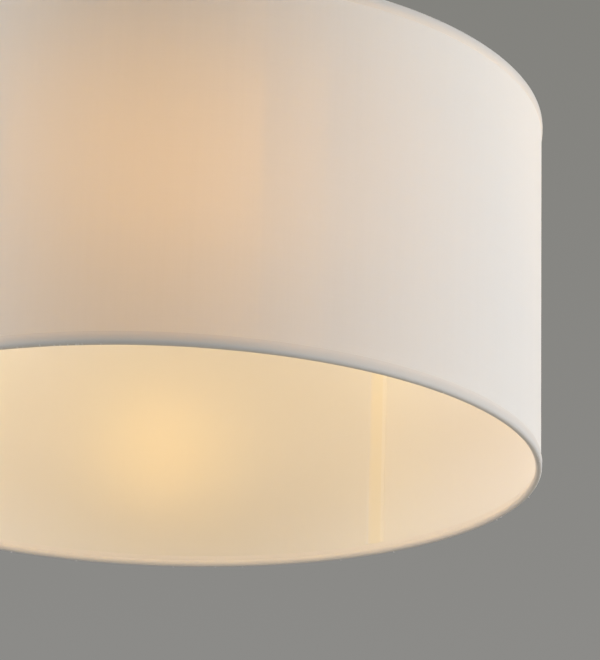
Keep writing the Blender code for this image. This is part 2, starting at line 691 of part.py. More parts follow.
def build_contacts():
    """Insulating insert with the thread shell, both terminals and the sprung leaf."""
    outline = [
        (0, INSERT_TOP),
        (INSERT_TOP_RADIUS, INSERT_TOP),
        (INSERT_TOP_RADIUS, INSERT_FLANGE_TOP),
        (INSERT_FLANGE_RADIUS, INSERT_FLANGE_TOP),
        (INSERT_FLANGE_RADIUS, INSERT_FLANGE_END),
        (INSERT_BOSS_RADIUS, INSERT_FLANGE_END),
        (INSERT_BOSS_RADIUS, INSERT_BOSS_END),
        (0, INSERT_BOSS_END),
    ]
    mesh = lathe("contact_insert", outline, HOLDER_FACETS, closed=False)
    insert = place("contact_insert", mesh, CREAM_CERAMIC)
    half_slot = TERMINAL_WIDTH / 2 + GAP
    low, high = INSERT_BOSS_END - OVERRUN, INSERT_TOP + OVERRUN
    slot_edge = max(STRAP_OUTER, INSERT_TOP_RADIUS) + GAP
    live_low, live_high = (-LEG_OUTER - GAP, -half_slot, low), (-LEG_INNER + GAP, half_slot, high)
    neutral_low, neutral_high = (STRAP_INNER - GAP, -half_slot, low), (slot_edge, half_slot, high)
    live_slot = cutter_block("live_slot", live_low, live_high)
    neutral_slot = cutter_block("neutral_slot", neutral_low, neutral_high)
    cut(insert, [live_slot, neutral_slot])

    shell_top = INSERT_FLANGE_END - GAP
    shell_end = SKIRT_END + SKIRT_LIP_THICKNESS + GAP
    outline = [
        (SHELL_INNER, shell_top),
        (SHELL_OUTER, shell_top),
        (SHELL_OUTER, shell_end),
        (SHELL_INNER, shell_end),
    ]
    place("thread_shell", lathe("thread_shell", outline, HOLDER_FACETS), BRASS)

    near, far = TERMINAL_OFFSET - TERMINAL_LENGTH / 2, TERMINAL_OFFSET + TERMINAL_LENGTH / 2
    top = TERMINAL_SEAT + TERMINAL_HEIGHT
    live_outline = [
        (-far, TERMINAL_SEAT),
        (-LEG_OUTER, TERMINAL_SEAT),
        (-LEG_OUTER, LEAF_ROOT + GAP),
        (-LEG_INNER, LEAF_ROOT + GAP),
        (-LEG_INNER, TERMINAL_SEAT),
        (-near, TERMINAL_SEAT),
        (-near, top),
        (-far, top),
    ]
    neutral_outline = [
        (near, TERMINAL_SEAT),
        (STRAP_INNER, TERMINAL_SEAT),
        (STRAP_INNER, shell_top - STRAP_CONTACT_LENGTH),
        (STRAP_OUTER, shell_top - STRAP_CONTACT_LENGTH),
        (STRAP_OUTER, TERMINAL_SEAT + STRAP_THICKNESS),
        (far, TERMINAL_SEAT + STRAP_THICKNESS),
        (far, top),
        (near, top),
    ]
    for pole, outline, offset in (
        ("live", live_outline, -TERMINAL_OFFSET),
        ("neutral", neutral_outline, TERMINAL_OFFSET),
    ):
        build_terminal(pole, outline, offset, top)
    build_leaf()


def build_terminal(pole, outline, offset, top):
    """Terminal block with its strap, and the slotted screw in its top."""
    name = pole + "_terminal"
    terminal = place(name, prism(name, outline, TERMINAL_WIDTH), BRASS)
    shank = TERMINAL_SCREW_DIAMETER / 2
    hole_floor = top - TERMINAL_SCREW_DEPTH - GAP
    hole_length = top + OVERRUN - hole_floor
    hole = cutter_bar(
        pole + "_screw_hole", shank + GAP, hole_length, (offset, 0, hole_floor + hole_length / 2)
    )
    cut(terminal, [hole])

    head = TERMINAL_HEAD_DIAMETER / 2
    outline = [
        (0, -TERMINAL_SCREW_DEPTH),
        (shank, -TERMINAL_SCREW_DEPTH),
        (shank, GAP),
        (head, GAP),
        (head, GAP + TERMINAL_HEAD_HEIGHT),
        (0, GAP + TERMINAL_HEAD_HEIGHT),
    ]
    name = "terminal_screw_" + pole
    mesh = lathe(name, outline, PIN_FACETS, closed=False)
    screw = place(name, mesh, NICKEL, location=(offset, 0, top))
    half_slot = TERMINAL_SLOT_WIDTH / 2
    slot = cutter_block(
        pole + "_screw_slot",
        (-head - OVERRUN, -half_slot, GAP + TERMINAL_HEAD_HEIGHT / 2),
        (head + OVERRUN, half_slot, TERMINAL_HEAD_HEIGHT + OVERRUN),
        screw,
    )
    cut(screw, [slot])


def build_leaf():
    """Sprung centre contact, with its origin on the line that it bends about."""
    root = -LEG_OUTER
    pad = LEAF_PAD_LENGTH / 2
    half = LEAF_THICKNESS / 2
    outline = [
        (0, half),
        (-pad - root, half - LEAF_DROP),
        (pad - root, half - LEAF_DROP),
        (pad - root, -half - LEAF_DROP),
        (-pad - root, -half - LEAF_DROP),
        (0, -half),
    ]
    mesh = prism("centre_contact", outline, LEAF_WIDTH)
    place("centre_contact", mesh, BRASS, location=(root, 0, LEAF_ROOT - half))


def shoulder_curve(radius, neck_radius, neck_end, centre):
    """Curve from the lamp's neck out to its sphere, tangent to both."""
    height = centre - radius * math.sin(GLASS_SHOULDER_ANGLE)
    joint = Vector((radius * math.cos(GLASS_SHOULDER_ANGLE), height))
    tangent = Vector((-math.sin(GLASS_SHOULDER_ANGLE), -math.cos(GLASS_SHOULDER_ANGLE)))
    start = Vector((neck_radius, neck_end))
    neck_pull = start + Vector((0, GLASS_SHOULDER_PULL))
    handles = (start, neck_pull, joint + tangent * GLASS_SHOULDER_PULL, joint)
    points = []
    for index in range(GLASS_SHOULDER_STEPS + 1):
        share = index / GLASS_SHOULDER_STEPS
        weights = ((1 - share) ** 3, 3 * share * (1 - share) ** 2, 3 * share**2 * (1 - share), share**3)
        points.append(sum((handle * weight for handle, weight in zip(handles, weights)), Vector((0, 0))))
    return [(point.x, point.y) for point in points]


def glass_contour(inset):
    """Lamp glass from neck to pole, as (radius, depth below the tip) points."""
    radius = LAMP_RADIUS - inset
    centre = LAMP_LENGTH - LAMP_RADIUS
    neck_radius = GLASS_NECK_RADIUS - inset
    points = [(neck_radius, GLASS_TOP)]
    points += shoulder_curve(radius, neck_radius, LAMP_CAP_LENGTH + GLASS_THICKNESS, centre)
    sweep = GLASS_SHOULDER_ANGLE + math.pi / 2
    for index in range(1, GLASS_SPHERE_STEPS):
        angle = GLASS_SHOULDER_ANGLE - sweep * index / GLASS_SPHERE_STEPS
        points.append((radius * math.cos(angle), centre - radius * math.sin(angle)))
    points.append((0, centre + radius))
    return points


def hung(outline):
    """Turn (radius, depth) points into (radius, height) points."""
    return [(radius, -depth) for radius, depth in outline]


def build_glass(lamp):
    """Opal envelope and the stem that closes its neck."""
    outline = glass_contour(0)[::-1] + glass_contour(GLASS_THICKNESS)
    mesh = lathe("glass_envelope", hung(outline), LAMP_FACETS, closed=False)
    place("glass_envelope", mesh, OPAL_GLASS, lamp)

    outline = [
        (0, STEM_TOP),
        (STEM_FLARE_RADIUS, STEM_TOP),
        (STEM_FLARE_RADIUS, STEM_TOP + STEM_FLARE_THICKNESS),
        (STEM_FLARE_NECK_RADIUS, STEM_TOP + STEM_FLARE_HEIGHT),
        (STEM_RADIUS, STEM_TOP + STEM_FLARE_HEIGHT + STEM_TAPER_HEIGHT),
        (STEM_RADIUS, STEM_END),
        (0, STEM_END),
    ]
    mesh = lathe("glass_stem", hung(outline), SMALL_FACETS, closed=False)
    stem = place("glass_stem", mesh, CLEAR_GLASS, lamp)
    bores = []
    length = 2 * STEM_FLARE_HEIGHT
    for pole, side in (("live", -1), ("neutral", 1)):
        name = pole + "_lead_bore"
        middle = (side * LEAD_OFFSET, 0, -STEM_TOP)
        bores.append(cutter_bar(name, LEAD_RADIUS + GAP, length, middle, parent=lamp))
    cut(stem, bores)


def star_radii():
    """Outer radius of a filament carrier: a small hub with one point per filament."""
    corners = SMALL_FACETS
    per_point = corners // FILAMENT_COUNT
    return [CARRIER_REACH if corner % per_point == 0 else CARRIER_HUB_RADIUS for corner in range(corners)]


def build_filaments(lamp):
    """Filaments between two star-shaped carriers, and the leads that feed them."""
    hub_bore = STEM_RADIUS + GAP
    for name, depth in (
        ("filament_carrier_upper", CARRIER_UPPER_DEPTH),
        ("filament_carrier_lower", CARRIER_LOWER_DEPTH),
    ):
        mesh = lobed_ring(name, star_radii(), hub_bore, -depth - CARRIER_THICKNESS, -depth)
        place(name, mesh, NICKEL, lamp)

    for index in range(FILAMENT_COUNT):
        name = "filament_%d" % (index + 1)
        azimuth = math.tau * index / FILAMENT_COUNT
        spot = (FILAMENT_CIRCLE_RADIUS * math.cos(azimuth), FILAMENT_CIRCLE_RADIUS * math.sin(azimuth), 0)
        mesh = rod(name, FILAMENT_RADIUS, -FILAMENT_END, -FILAMENT_TOP, PIN_FACETS)
        place(name, mesh, YELLOW_PHOSPHOR, lamp, location=spot)

    for pole, side in (("live", -1), ("neutral", 1)):
        name = "lead_wire_" + pole
        mesh = rod(name, LEAD_RADIUS, -LEAD_END, -LEAD_TOP, PIN_FACETS)
        place(name, mesh, NICKEL, lamp, location=(side * LEAD_OFFSET, 0, 0))


def build_lamp_cap(carrier, lamp):
    """Screw cap with its insulator, tip contact and driver board."""
    mouth = LAMP_CAP_MOUTH
    shoulder = LAMP_CAP_TOP + LAMP_CAP_BEVEL
    rim = mouth + LAMP_CAP_RIM
    outline = [
        (mouth, LAMP_CAP_TOP),
        (rim, LAMP_CAP_TOP),
        (LAMP_CAP_OUTER, shoulder),
        (LAMP_CAP_OUTER, LAMP_CAP_LENGTH),
        (LAMP_CAP_INNER, LAMP_CAP_LENGTH),
        (LAMP_CAP_INNER, shoulder + LAMP_CAP_WALL / 2),
        (rim - LAMP_CAP_WALL / 2, LAMP_CAP_TOP + LAMP_CAP_WALL),
        (mouth, LAMP_CAP_TOP + LAMP_CAP_WALL),
    ]
    place("lamp_cap", lathe("lamp_cap", hung(outline), LAMP_FACETS), NICKEL, lamp)

    bore = TIP_SHANK_RADIUS + GAP
    outline = [
        (bore, INSULATOR_TOP),
        (INSULATOR_TOP_DIAMETER / 2, INSULATOR_TOP),
        (INSULATOR_RADIUS, INSULATOR_END - INSULATOR_RIM_HEIGHT),
        (INSULATOR_RADIUS, INSULATOR_END),
        (bore, INSULATOR_END),
    ]
    place("cap_insulator", lathe("cap_insulator", hung(outline), SMALL_FACETS), BLACK_GLASS, lamp)

    head = TIP_DIAMETER / 2
    outline = [
        (0, 0),
        (head / 2, TIP_CROWN / 4),
        (head, TIP_CROWN),
        (head, TIP_HEIGHT),
        (TIP_SHANK_RADIUS, TIP_HEIGHT),
        (TIP_SHANK_RADIUS, BOARD_DEPTH - GAP),
        (0, BOARD_DEPTH - GAP),
    ]
    mesh = lathe("tip_contact", hung(outline), SMALL_FACETS, closed=False)
    place("tip_contact", mesh, SOLDER, carrier)

    mesh = rod("driver_board", BOARD_RADIUS, -BOARD_DEPTH - BOARD_THICKNESS, -BOARD_DEPTH, LAMP_FACETS)
    place("driver_board", mesh, GREEN_BOARD, lamp)


def main():
    clear_scene()
    build_gland()
    build_cap()
    build_skirt()
    build_contacts()

    plate_carrier = frame("plate_carrier", PLATE_UNDERSIDE)
    ring_carrier = frame("ring_carrier", 0, plate_carrier)
    shade = frame("shade", SHADE_BOTTOM - PLATE_UNDERSIDE, plate_carrier)
    build_panels(shade)
    build_rims(shade)
    build_spider(plate_carrier, shade)
    build_shade_ring(ring_carrier)

    lamp_carrier = frame("lamp_carrier", LAMP_TIP)
    lamp = frame("lamp", 0, lamp_carrier)
    build_lamp_cap(lamp_carrier, lamp)
    build_glass(lamp)
    build_filaments(lamp)
    bpy.context.view_layer.update()


if __name__ == "__main__":
    main()
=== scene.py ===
"""Pendant light with a white drum shade, dressed for its picture.

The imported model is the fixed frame: metres, +Z up, the cord entry at the origin.
Shade, spider, ring, holder and lamp are classes over it, each piece in the place
of the solid that it stands for, and the studio comes last.
"""

import logging
import math
from collections.abc import Callable, Iterable, Sequence
from dataclasses import dataclass, field
from enum import Enum
from typing import Any

import bmesh
import bpy
from mathutils import Matrix, Vector

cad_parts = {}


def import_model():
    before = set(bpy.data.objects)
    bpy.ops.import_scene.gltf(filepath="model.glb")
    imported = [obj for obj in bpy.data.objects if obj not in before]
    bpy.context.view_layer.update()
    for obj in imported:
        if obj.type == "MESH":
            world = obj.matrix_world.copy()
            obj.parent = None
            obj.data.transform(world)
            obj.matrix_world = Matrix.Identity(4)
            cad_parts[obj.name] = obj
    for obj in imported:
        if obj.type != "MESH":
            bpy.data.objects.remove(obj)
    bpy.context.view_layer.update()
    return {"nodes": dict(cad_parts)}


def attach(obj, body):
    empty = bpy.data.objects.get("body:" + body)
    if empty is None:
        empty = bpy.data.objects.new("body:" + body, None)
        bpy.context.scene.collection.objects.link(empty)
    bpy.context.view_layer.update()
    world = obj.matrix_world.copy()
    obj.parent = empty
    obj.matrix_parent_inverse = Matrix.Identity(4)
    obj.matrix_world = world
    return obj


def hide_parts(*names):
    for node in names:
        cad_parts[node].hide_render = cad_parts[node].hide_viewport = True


LOG = logging.getLogger("pendant_light")
TOUCHING = 1e-6
SHARP_ANGLE = math.radians(38)
ROUNDING_LIMIT = 0.49
LAMP_THREAD_PITCH = 0.003629

Point = tuple[float, float]
Triple = tuple[float, float, float]
Colour = Triple
Station = tuple[float, ...]
Tree = bpy.types.NodeTree
Mesh = bpy.types.Mesh
Piece = bpy.types.Object


class Slot(Enum):
    """Material slots of the record."""

    FABRIC = "white_fabric"
    LINER = "warm_liner"
    HEM = "hem_cloth"
    ADHESIVE = "clear_adhesive"
    ENAMEL = "white_enamel"
    MOULDING = "white_moulding"
    CERAMIC = "cream_ceramic"
    STEEL = "bright_steel"
    BRASS = "brass"
    NICKEL = "nickel"
    OPAL = "opal_glass"
    STEM_GLASS = "clear_glass"
    BLACK_GLASS = "black_glass"
    SOLDER = "solder"
    BOARD = "green_board"
    PHOSPHOR = "yellow_phosphor"


class Body(Enum):
    """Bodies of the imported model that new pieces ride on."""

    HOLDER = "holder"
    PLATE = "plate_carrier"
    RING = "ring"
    SHADE = "shade"
    LAMP = "lamp"


class Coordinates(Enum):
    """What a finish lays its pattern on."""

    OBJECT = "Object"
    CLOTH = "UV"


class Effect(Enum):
    """Shader node groups that several finishes share."""

    GRAIN = "surface_grain"
    WEAR = "handling_wear"
    WEAVE = "plain_weave"


class Shape(Enum):
    """Geometry Nodes trees that the sub-assemblies share."""

    ROLL = "roll_strip"
    THREAD = "cut_thread"
    RIBS = "stand_ribs"
    SWEEP = "sweep_wire"
    FRAY = "fray_edge"


class Signal:
    """Output of a node, which sums and products are built from."""

    def __init__(self, net: "Net", socket: bpy.types.NodeSocket) -> None:
        """Keep the output and the nodes that it is among."""
        self.net, self.socket = net, socket

    def __add__(self, other: "Signal | float") -> "Signal":
        """Add a value."""
        return self.net.math("ADD", self, other)

    def __sub__(self, other: "Signal | float") -> "Signal":
        """Take a value away."""
        return self.net.math("SUBTRACT", self, other)

    def __rsub__(self, other: float) -> "Signal":
        """Take this value away from a number."""
        return self.net.math("SUBTRACT", other, self)

    def __mul__(self, other: "Signal | float") -> "Signal":
        """Multiply by a value."""
        return self.net.math("MULTIPLY", self, other)

    def __truediv__(self, other: "Signal | float") -> "Signal":
        """Divide by a value."""
        return self.net.math("DIVIDE", self, other)


Value = Signal | float
Signals = dict[str, Signal]


class Net:
    """Linked nodes of one node tree."""

    def __init__(self, tree: Tree) -> None:
        """Keep the tree that the nodes go into."""
        self.tree = tree

    def node(self, kind: str, inputs: dict[Any, Any] | None = None, **options: Any) -> bpy.types.Node:
        """Add one node.

        Args:
            kind: Blender's name for the type of node.
            inputs: what each input gets, a signal, a list of signals or a plain value.
            options: settings of the node itself.

        Returns:
            The new node.
        """
        node = self.tree.nodes.new(kind)
        for name, value in options.items():
            setattr(node, name, value)
        for key, value in (inputs or {}).items():
            for part in value if isinstance(value, list) else [value]:
                if isinstance(part, Signal):
                    self.tree.links.new(part.socket, node.inputs[key])
                else:
                    node.inputs[key].default_value = part
        return node

    def all(self, kind: str, inputs: dict[Any, Any] | None = None, **options: Any) -> Signals:
        """Add a node and return its outputs by name."""
        node = self.node(kind, inputs, **options)
        return {socket.name: Signal(self, socket) for socket in node.outputs}

    def add(self, kind: str, inputs: dict[Any, Any] | None = None, output: int | str = 0,
            **options: Any) -> Signal:
        """Add a node and return one of its outputs."""
        return Signal(self, self.node(kind, inputs, **options).outputs[output])

    def effect(self, effect: Effect, inputs: dict[str, Any]) -> Signals:
        """Place a shared shader group and return its outputs by name."""
        return self.all("ShaderNodeGroup", inputs, node_tree=bpy.data.node_groups[effect.value])

    def math(self, operation: str, *values: Value, clamp: bool = False) -> Signal:
        """Return the result of a Math node on up to three values."""
        return self.add("ShaderNodeMath", dict(enumerate(values)), operation=operation, use_clamp=clamp)

    def vector(self, operation: str, *values: Signal) -> Signal:
        """Return the result of a Vector Math node on one or two vectors."""
        return self.add("ShaderNodeVectorMath", dict(enumerate(values)), operation=operation)

    def remap(self, value: Signal, old: Point, new: Point = (0.0, 1.0)) -> Signal:
        """Map a value from one range to another, clamped, and return it."""
        inputs = {"Value": value, "From Min": old[0], "From Max": old[1], "To Min": new[0], "To Max": new[1]}
        return self.add("ShaderNodeMapRange", inputs, "Result")

    def blend(self, factor: Value, first: Any, second: Any, mode: str = "MIX") -> Signal:
        """Mix two colours by a factor and return the mix."""
        # The Mix node takes colours at its inputs 6 and 7 and gives their mix at its output 2.
        inputs = {0: factor, 6: first, 7: second}
        return self.add("ShaderNodeMix", inputs, 2, data_type="RGBA", blend_type=mode)

    def mix_shaders(self, factor: Value, first: Signal, second: Signal) -> Signal:
        """Mix two shaders by a factor and return the mix."""
        return self.add("ShaderNodeMixShader", {0: factor, 1: first, 2: second})

    def split(self, vector: Signal) -> list[Signal]:
        """Return the three parts of a vector."""
        return list(self.all("ShaderNodeSeparateXYZ", {0: vector}).values())

    def join(self, x: Value, y: Value, z: Value) -> Signal:
        """Return a vector from its three parts."""
        return self.add("ShaderNodeCombineXYZ", {0: x, 1: y, 2: z})

    def noise(self, vector: Signal, scale: Value, detail: float = 2.0) -> Signal:
        """Return fractal noise from 0 to 1 at a vector."""
        return self.add("ShaderNodeTexNoise", {"Vector": vector, "Scale": scale, "Detail": detail})

    def relief(self, height: Signal, depth: float, strength: float = 1.0) -> Signal:
        """Return a normal from a height and its depth in metres."""
        return self.add("ShaderNodeBump", {"Height": height, "Distance": depth, "Strength": strength})

    def ramp(self, value: Signal, stops: Sequence[tuple[float, Colour]]) -> Signal:
        """Look a value up among colours.

        Args:
            value: from 0 to 1.
            stops: (value, colour) pairs that the colour runs smoothly through.

        Returns:
            The colour.
        """
        node = self.node("ShaderNodeValToRGB", {0: value})
        node.color_ramp.interpolation = "EASE"
        elements = node.color_ramp.elements
        while len(elements) < len(stops):
            elements.new(1.0)
        for element, (spot, colour) in zip(elements, stops):
            element.position = spot
            element.color = rgba(colour)
        return Signal(self, node.outputs[0])


def rgba(colour: Colour) -> tuple[float, float, float, float]:
    """Return a colour with full alpha."""
    return (*colour, 1.0)


def shares(count: int) -> list[float]:
    """Return the even steps from 0 to 1 in a number of parts."""
    return [index / count for index in range(count + 1)]


def circle(count: int) -> list[float]:
    """Return the angles of a number of corners round a circle."""
    return [math.tau * index / count for index in range(count)]


def polar(radius: float, turn: float, x: float = 0.0, y: float = 0.0) -> Point:
    """Return the point at a radius and an angle from a centre."""
    return x + radius * math.cos(turn), y + radius * math.sin(turn)


def build_group(name: str, kind: str, inputs: dict[str, Any], outputs: dict[str, str],
                wire: Callable[[Net, Signals], Signals]) -> None:
    """Build a node group with named sockets.

    Args:
        name: the group's name.
        kind: Blender's name for the type of tree.
        inputs: its inputs, each with its default or, as a word, its type.
        outputs: its outputs with their types.
        wire: adds the nodes and returns what each output gets.
    """
    tree = bpy.data.node_groups.new(name, kind)
    for direction, sockets in (("INPUT", inputs), ("OUTPUT", outputs)):
        for label, default in sockets.items():
            if isinstance(default, str):
                tree.interface.new_socket(label, in_out=direction, socket_type="NodeSocket" + default)
                continue
            size = len(default) if isinstance(default, tuple) else 1
            word = {1: "Int" if isinstance(default, int) else "Float", 3: "Vector", 4: "Color"}[size]
            socket = tree.interface.new_socket(label, in_out=direction, socket_type="NodeSocket" + word)
            socket.default_value = default
    net = Net(tree)
    net.node("NodeGroupOutput", wire(net, net.all("NodeGroupInput")))


def wire_grain(net: Net, given: Signals) -> Signals:
    """Fine texture of a moulded, painted, glazed or rolled surface.

    Args:
        net: the group's nodes.
        given: its inputs.

    Returns:
        Its outputs.
    """
    coarser, patch_edges, patch_share = 14.0, (0.35, 0.65), 0.65
    fine = net.noise(net.vector("MULTIPLY", given["Vector"], given["Stretch"]), given["Scale"], 3.0)
    patches = net.remap(net.noise(given["Vector"], given["Scale"] / coarser), patch_edges)
    factor = net.math("ADD", patches * patch_share, fine * (1 - patch_share), clamp=True)
    shift = patches + fine - 1.0
    return {
        "Colour": net.blend(factor, given["Colour"], given["Tint"]),
        "Roughness": net.math("MULTIPLY_ADD", shift, given["Spread"], given["Roughness"], clamp=True),
        "Height": fine,
    }


def wire_wear(net: Net, given: Signals) -> Signals:
    """Patchy scuffs and dust, denser where the amount is higher.

    Args:
        net: the group's nodes.
        given: its inputs.

    Returns:
        Its outputs.
    """
    finer, broad_share, clean_level, reach, contrast = 9.0, 0.6, 0.78, 0.5, 5.0
    broad = net.noise(given["Vector"], given["Scale"], 3.0)
    fine = net.noise(given["Vector"], given["Scale"] * finer, 4.0)
    mixed = broad * broad_share + fine * (1 - broad_share)
    floor = clean_level - given["Amount"] * reach
    return {"Mask": net.math("MULTIPLY", mixed - floor, contrast, clamp=True)}


def wire_weave(net: Net, given: Signals) -> Signals:
    """Plain weave with thicker threads here and there, on flat cloth in metres, darker in the hollows
    between threads as a painted shade.

    Args:
        net: the group's nodes.
        given: its inputs.

    Returns:
        Its outputs.
    """
    streak_scales, streak_edges = ((1500.0, 7.0), (5.0, 1100.0), (260.0, 3.0)), (0.3, 0.7)
    weft_share, broad_share, slub_height = 0.45, 0.3, 0.5
    flat = net.split(given["Vector"])[:2]
    turns = [part / given["Pitch"] for part in flat]
    waves = [net.math("SINE", turn * math.pi) for turn in turns]
    over = net.math("GREATER_THAN", waves[0] * waves[1], 0.0)
    warp, weft = (net.math("ABSOLUTE", wave) for wave in waves)
    height = warp * over + weft * (1.0 - over)
    streaks = []
    for scales in streak_scales:
        spot = net.join(*(part * scale for part, scale in zip(flat, scales)), 0.0)
        streaks.append(net.remap(net.noise(spot, 1.0), streak_edges))
    slubs = streaks[1] * weft_share + streaks[0] * (1 - weft_share)
    slubs = streaks[2] * broad_share + slubs * (1 - broad_share)
    # Painted shade: the hollows between the threads are darkened toward the shadow colour.
    pores = (1.0 - height) * given["Pores"]
    factor = net.math("MULTIPLY_ADD", slubs, given["Slubs"], pores, clamp=True)
    return {
        "Colour": net.blend(factor, given["Colour"], given["Shadow"]),
        "Height": slubs * slub_height + height,
        "Slub": slubs,
        "Slope": net.math("COSINE", turns[1] * math.tau),
    }


def build_effects() -> None:
    """Build the shader node groups."""
    white, place = rgba((1.0, 1.0, 1.0)), {"Vector": (0.0, 0.0, 0.0)}
    for effect, wire, inputs, outputs in (
        (Effect.GRAIN, wire_grain,
         {"Colour": white, "Tint": white, "Scale": 600.0, "Stretch": (1.0, 1.0, 1.0), "Roughness": 0.4,
          "Spread": 0.1},
         {"Colour": "Color", "Roughness": "Float", "Height": "Float"}),
        (Effect.WEAR, wire_wear, {"Scale": 60.0, "Amount": 0.3}, {"Mask": "Float"}),
        (Effect.WEAVE, wire_weave,
         {"Colour": white, "Shadow": white, "Pitch": 0.0004, "Slubs": 0.5, "Pores": 0.2},
         {"Colour": "Color", "Height": "Float", "Slub": "Float", "Slope": "Float"}),
    ):
        build_group(effect.value, "ShaderNodeTree", place | inputs, outputs, wire)


@dataclass(frozen=True)
class Finish:
    """Finish whose surface is made of shader nodes."""

    def surface(self, net: Net) -> Signal:
        """Return the surface's shader."""
        raise NotImplementedError

    def material(self, name: str) -> bpy.types.Material:
        """Build the material.

        Args:
            name: the material's name.

        Returns:
            The material.
        """
        material = bpy.data.materials.new(name)
        material.use_nodes = True
        material.node_tree.nodes.clear()
        net = Net(material.node_tree)
        net.node("ShaderNodeOutputMaterial", {"Surface": self.surface(net)})
        return material


@dataclass(frozen=True)
class SolidFinish(Finish):
    """Moulded, painted, glazed or metal surface."""

    colour: Colour
    tint: Colour
    roughness: float
    spread: float = 0.10
    metallic: float = 0.0
    coat: float = 0.0
    scale: float = 700.0
    stretch: Triple = (1.0, 1.0, 1.0)
    relief: float = 0.00002
    worn: Colour = (0.55, 0.52, 0.47)
    wear: float = 0.2
    worn_roughness: float = 0.18
    transmission: float = 0.0

    def surface(self, net: Net) -> Signal:
        """Lay the grain and the wear on a plain surface.

        Args:
            net: the material's nodes.

        Returns:
            The shader.
        """
        place = net.add("ShaderNodeTexCoord", output=Coordinates.OBJECT.value)
        grain = net.effect(Effect.GRAIN, {
            "Vector": place, "Colour": rgba(self.colour), "Tint": rgba(self.tint), "Scale": self.scale,
            "Stretch": self.stretch, "Roughness": self.roughness, "Spread": self.spread,
        })
        mask = net.effect(Effect.WEAR, {"Vector": place, "Amount": self.wear})["Mask"]
        return net.add("ShaderNodeBsdfPrincipled", {
            "Base Color": net.blend(mask, grain["Colour"], rgba(self.worn)),
            "Roughness": net.math("MULTIPLY_ADD", mask, self.worn_roughness, grain["Roughness"], clamp=True),
            "Metallic": self.metallic,
            "Coat Weight": self.coat,
            "Transmission Weight": self.transmission,
            "Normal": net.relief(grain["Height"], self.relief),
        })


@dataclass(frozen=True)
class WallFinish(Finish):
    """Thin wall that the lamp shines through, woven or smooth.

    Light goes through it in three ways: scattered by the share, nearly straight on by
    the ahead share, and as shadow rays with the passing tint. A wall with an outward
    tint has its own tints past its middle radius, by the way that the light crosses.
    """

    colour: Colour
    shadow: Colour
    through: Colour
    share: float
    passing: Colour
    roughness: float
    pitch: float = 0.0004
    slubs: float = 0.5
    slub_shade: float = 0.35
    # How much painted shade darkens the hollows between threads.
    pores: float = 0.2
    relief: float = 0.00004
    relief_strength: float = 0.6
    outward: Colour | None = None
    lampward: Colour = (1.0, 1.0, 1.0)
    middle_radius: float = 0.0
    ahead: float = 0.0
    ahead_grazing: float = 0.25
    ahead_spread: float = 0.8
    ahead_ior: float = 2.2
    ahead_thick: Colour = (0.96, 0.96, 0.96)
    weft_slope: float = 0.0
    ior: float = 1.45
    gloss_tint: Colour = (1.0, 1.0, 1.0)

    def face_colour(self, net: Net, weave: Signals) -> Signal:
        """Return the colour that the wall reflects, which follows the weave."""
        return weave["Colour"]

    def glow_colour(self, net: Net, weave: Signals) -> Signal:
        """Return the colour of the light that comes through, darker in thick threads."""
        return net.blend(weave["Slub"] * self.slub_shade, rgba(self.through), weave["Colour"])

    def beam_share(self, net: Net, weave: Signals) -> Signal:
        """Return how much light passes nearly straight on, which is less at a grazing view."""
        facing = net.add("ShaderNodeLayerWeight", {"Blend": 0.5}, "Facing")
        return net.remap(facing, (0.0, 1.0), (self.ahead, self.ahead * self.ahead_grazing))

    def passing_colour(self, net: Net) -> Signal | tuple[float, ...]:
        """Tint the light that goes straight on, by the face and the way it crosses.

        Args:
            net: the material's nodes.

        Returns:
            The tint.
        """
        if not self.outward:
            return rgba(self.passing)
        x, y, _ = net.split(net.add("ShaderNodeTexCoord", output=Coordinates.OBJECT.value))
        inner = net.math("LESS_THAN", x * x + y * y, self.middle_radius**2)
        leaving = net.add("ShaderNodeNewGeometry", output="Backfacing")
        crossing = net.blend(leaving, rgba(self.outward), rgba(self.lampward))
        return net.blend(inner, rgba(self.passing), crossing)

    def beam(self, net: Net, weave: Signals) -> Signal:
        """Pass light nearly straight on, spread up and down by the round weft threads.

        Args:
            net: the material's nodes.
            weave: the weave's outputs, and its flat coordinates as Cloth.

        Returns:
            The shader.
        """
        face = net.add("ShaderNodeNewGeometry", output="Normal")
        lean = net.join(0.0, 0.0, weave["Slope"] * self.weft_slope)
        return net.add("ShaderNodeBsdfRefraction", {
            "Color": net.blend(weave["Slub"], rgba((1.0, 1.0, 1.0)), rgba(self.ahead_thick)),
            "Roughness": self.ahead_spread,
            "IOR": self.ahead_ior,
            "Normal": net.vector("NORMALIZE", net.vector("ADD", face, lean)),
        })

    def surface(self, net: Net) -> Signal:
        """Mix the face, the glow, the beam and the light that goes straight on.

        Args:
            net: the material's nodes.

        Returns:
            The shader.
        """
        cloth = net.add("ShaderNodeTexCoord", output=Coordinates.CLOTH.value)
        weave = {"Cloth": cloth} | net.effect(Effect.WEAVE, {
            "Vector": cloth, "Colour": rgba(self.colour), "Shadow": rgba(self.shadow), "Pitch": self.pitch,
            "Slubs": self.slubs, "Pores": self.pores,
        })
        front = net.add("ShaderNodeBsdfPrincipled", {
            "Base Color": self.face_colour(net, weave),
            "Roughness": self.roughness,
            "IOR": self.ior,
            "Specular Tint": rgba(self.gloss_tint),
            "Normal": net.relief(weave["Height"], self.relief, self.relief_strength),
        })
        glow = net.add("ShaderNodeBsdfTranslucent", {"Color": self.glow_colour(net, weave)})
        wall = net.mix_shaders(self.share, front, glow)
        if self.ahead:
            wall = net.mix_shaders(self.beam_share(net, weave), wall, self.beam(net, weave))
        straight = net.add("ShaderNodeBsdfTransparent", {"Color": self.passing_colour(net)})
        return net.mix_shaders(net.add("ShaderNodeLightPath", output="Is Shadow Ray"), wall, straight)


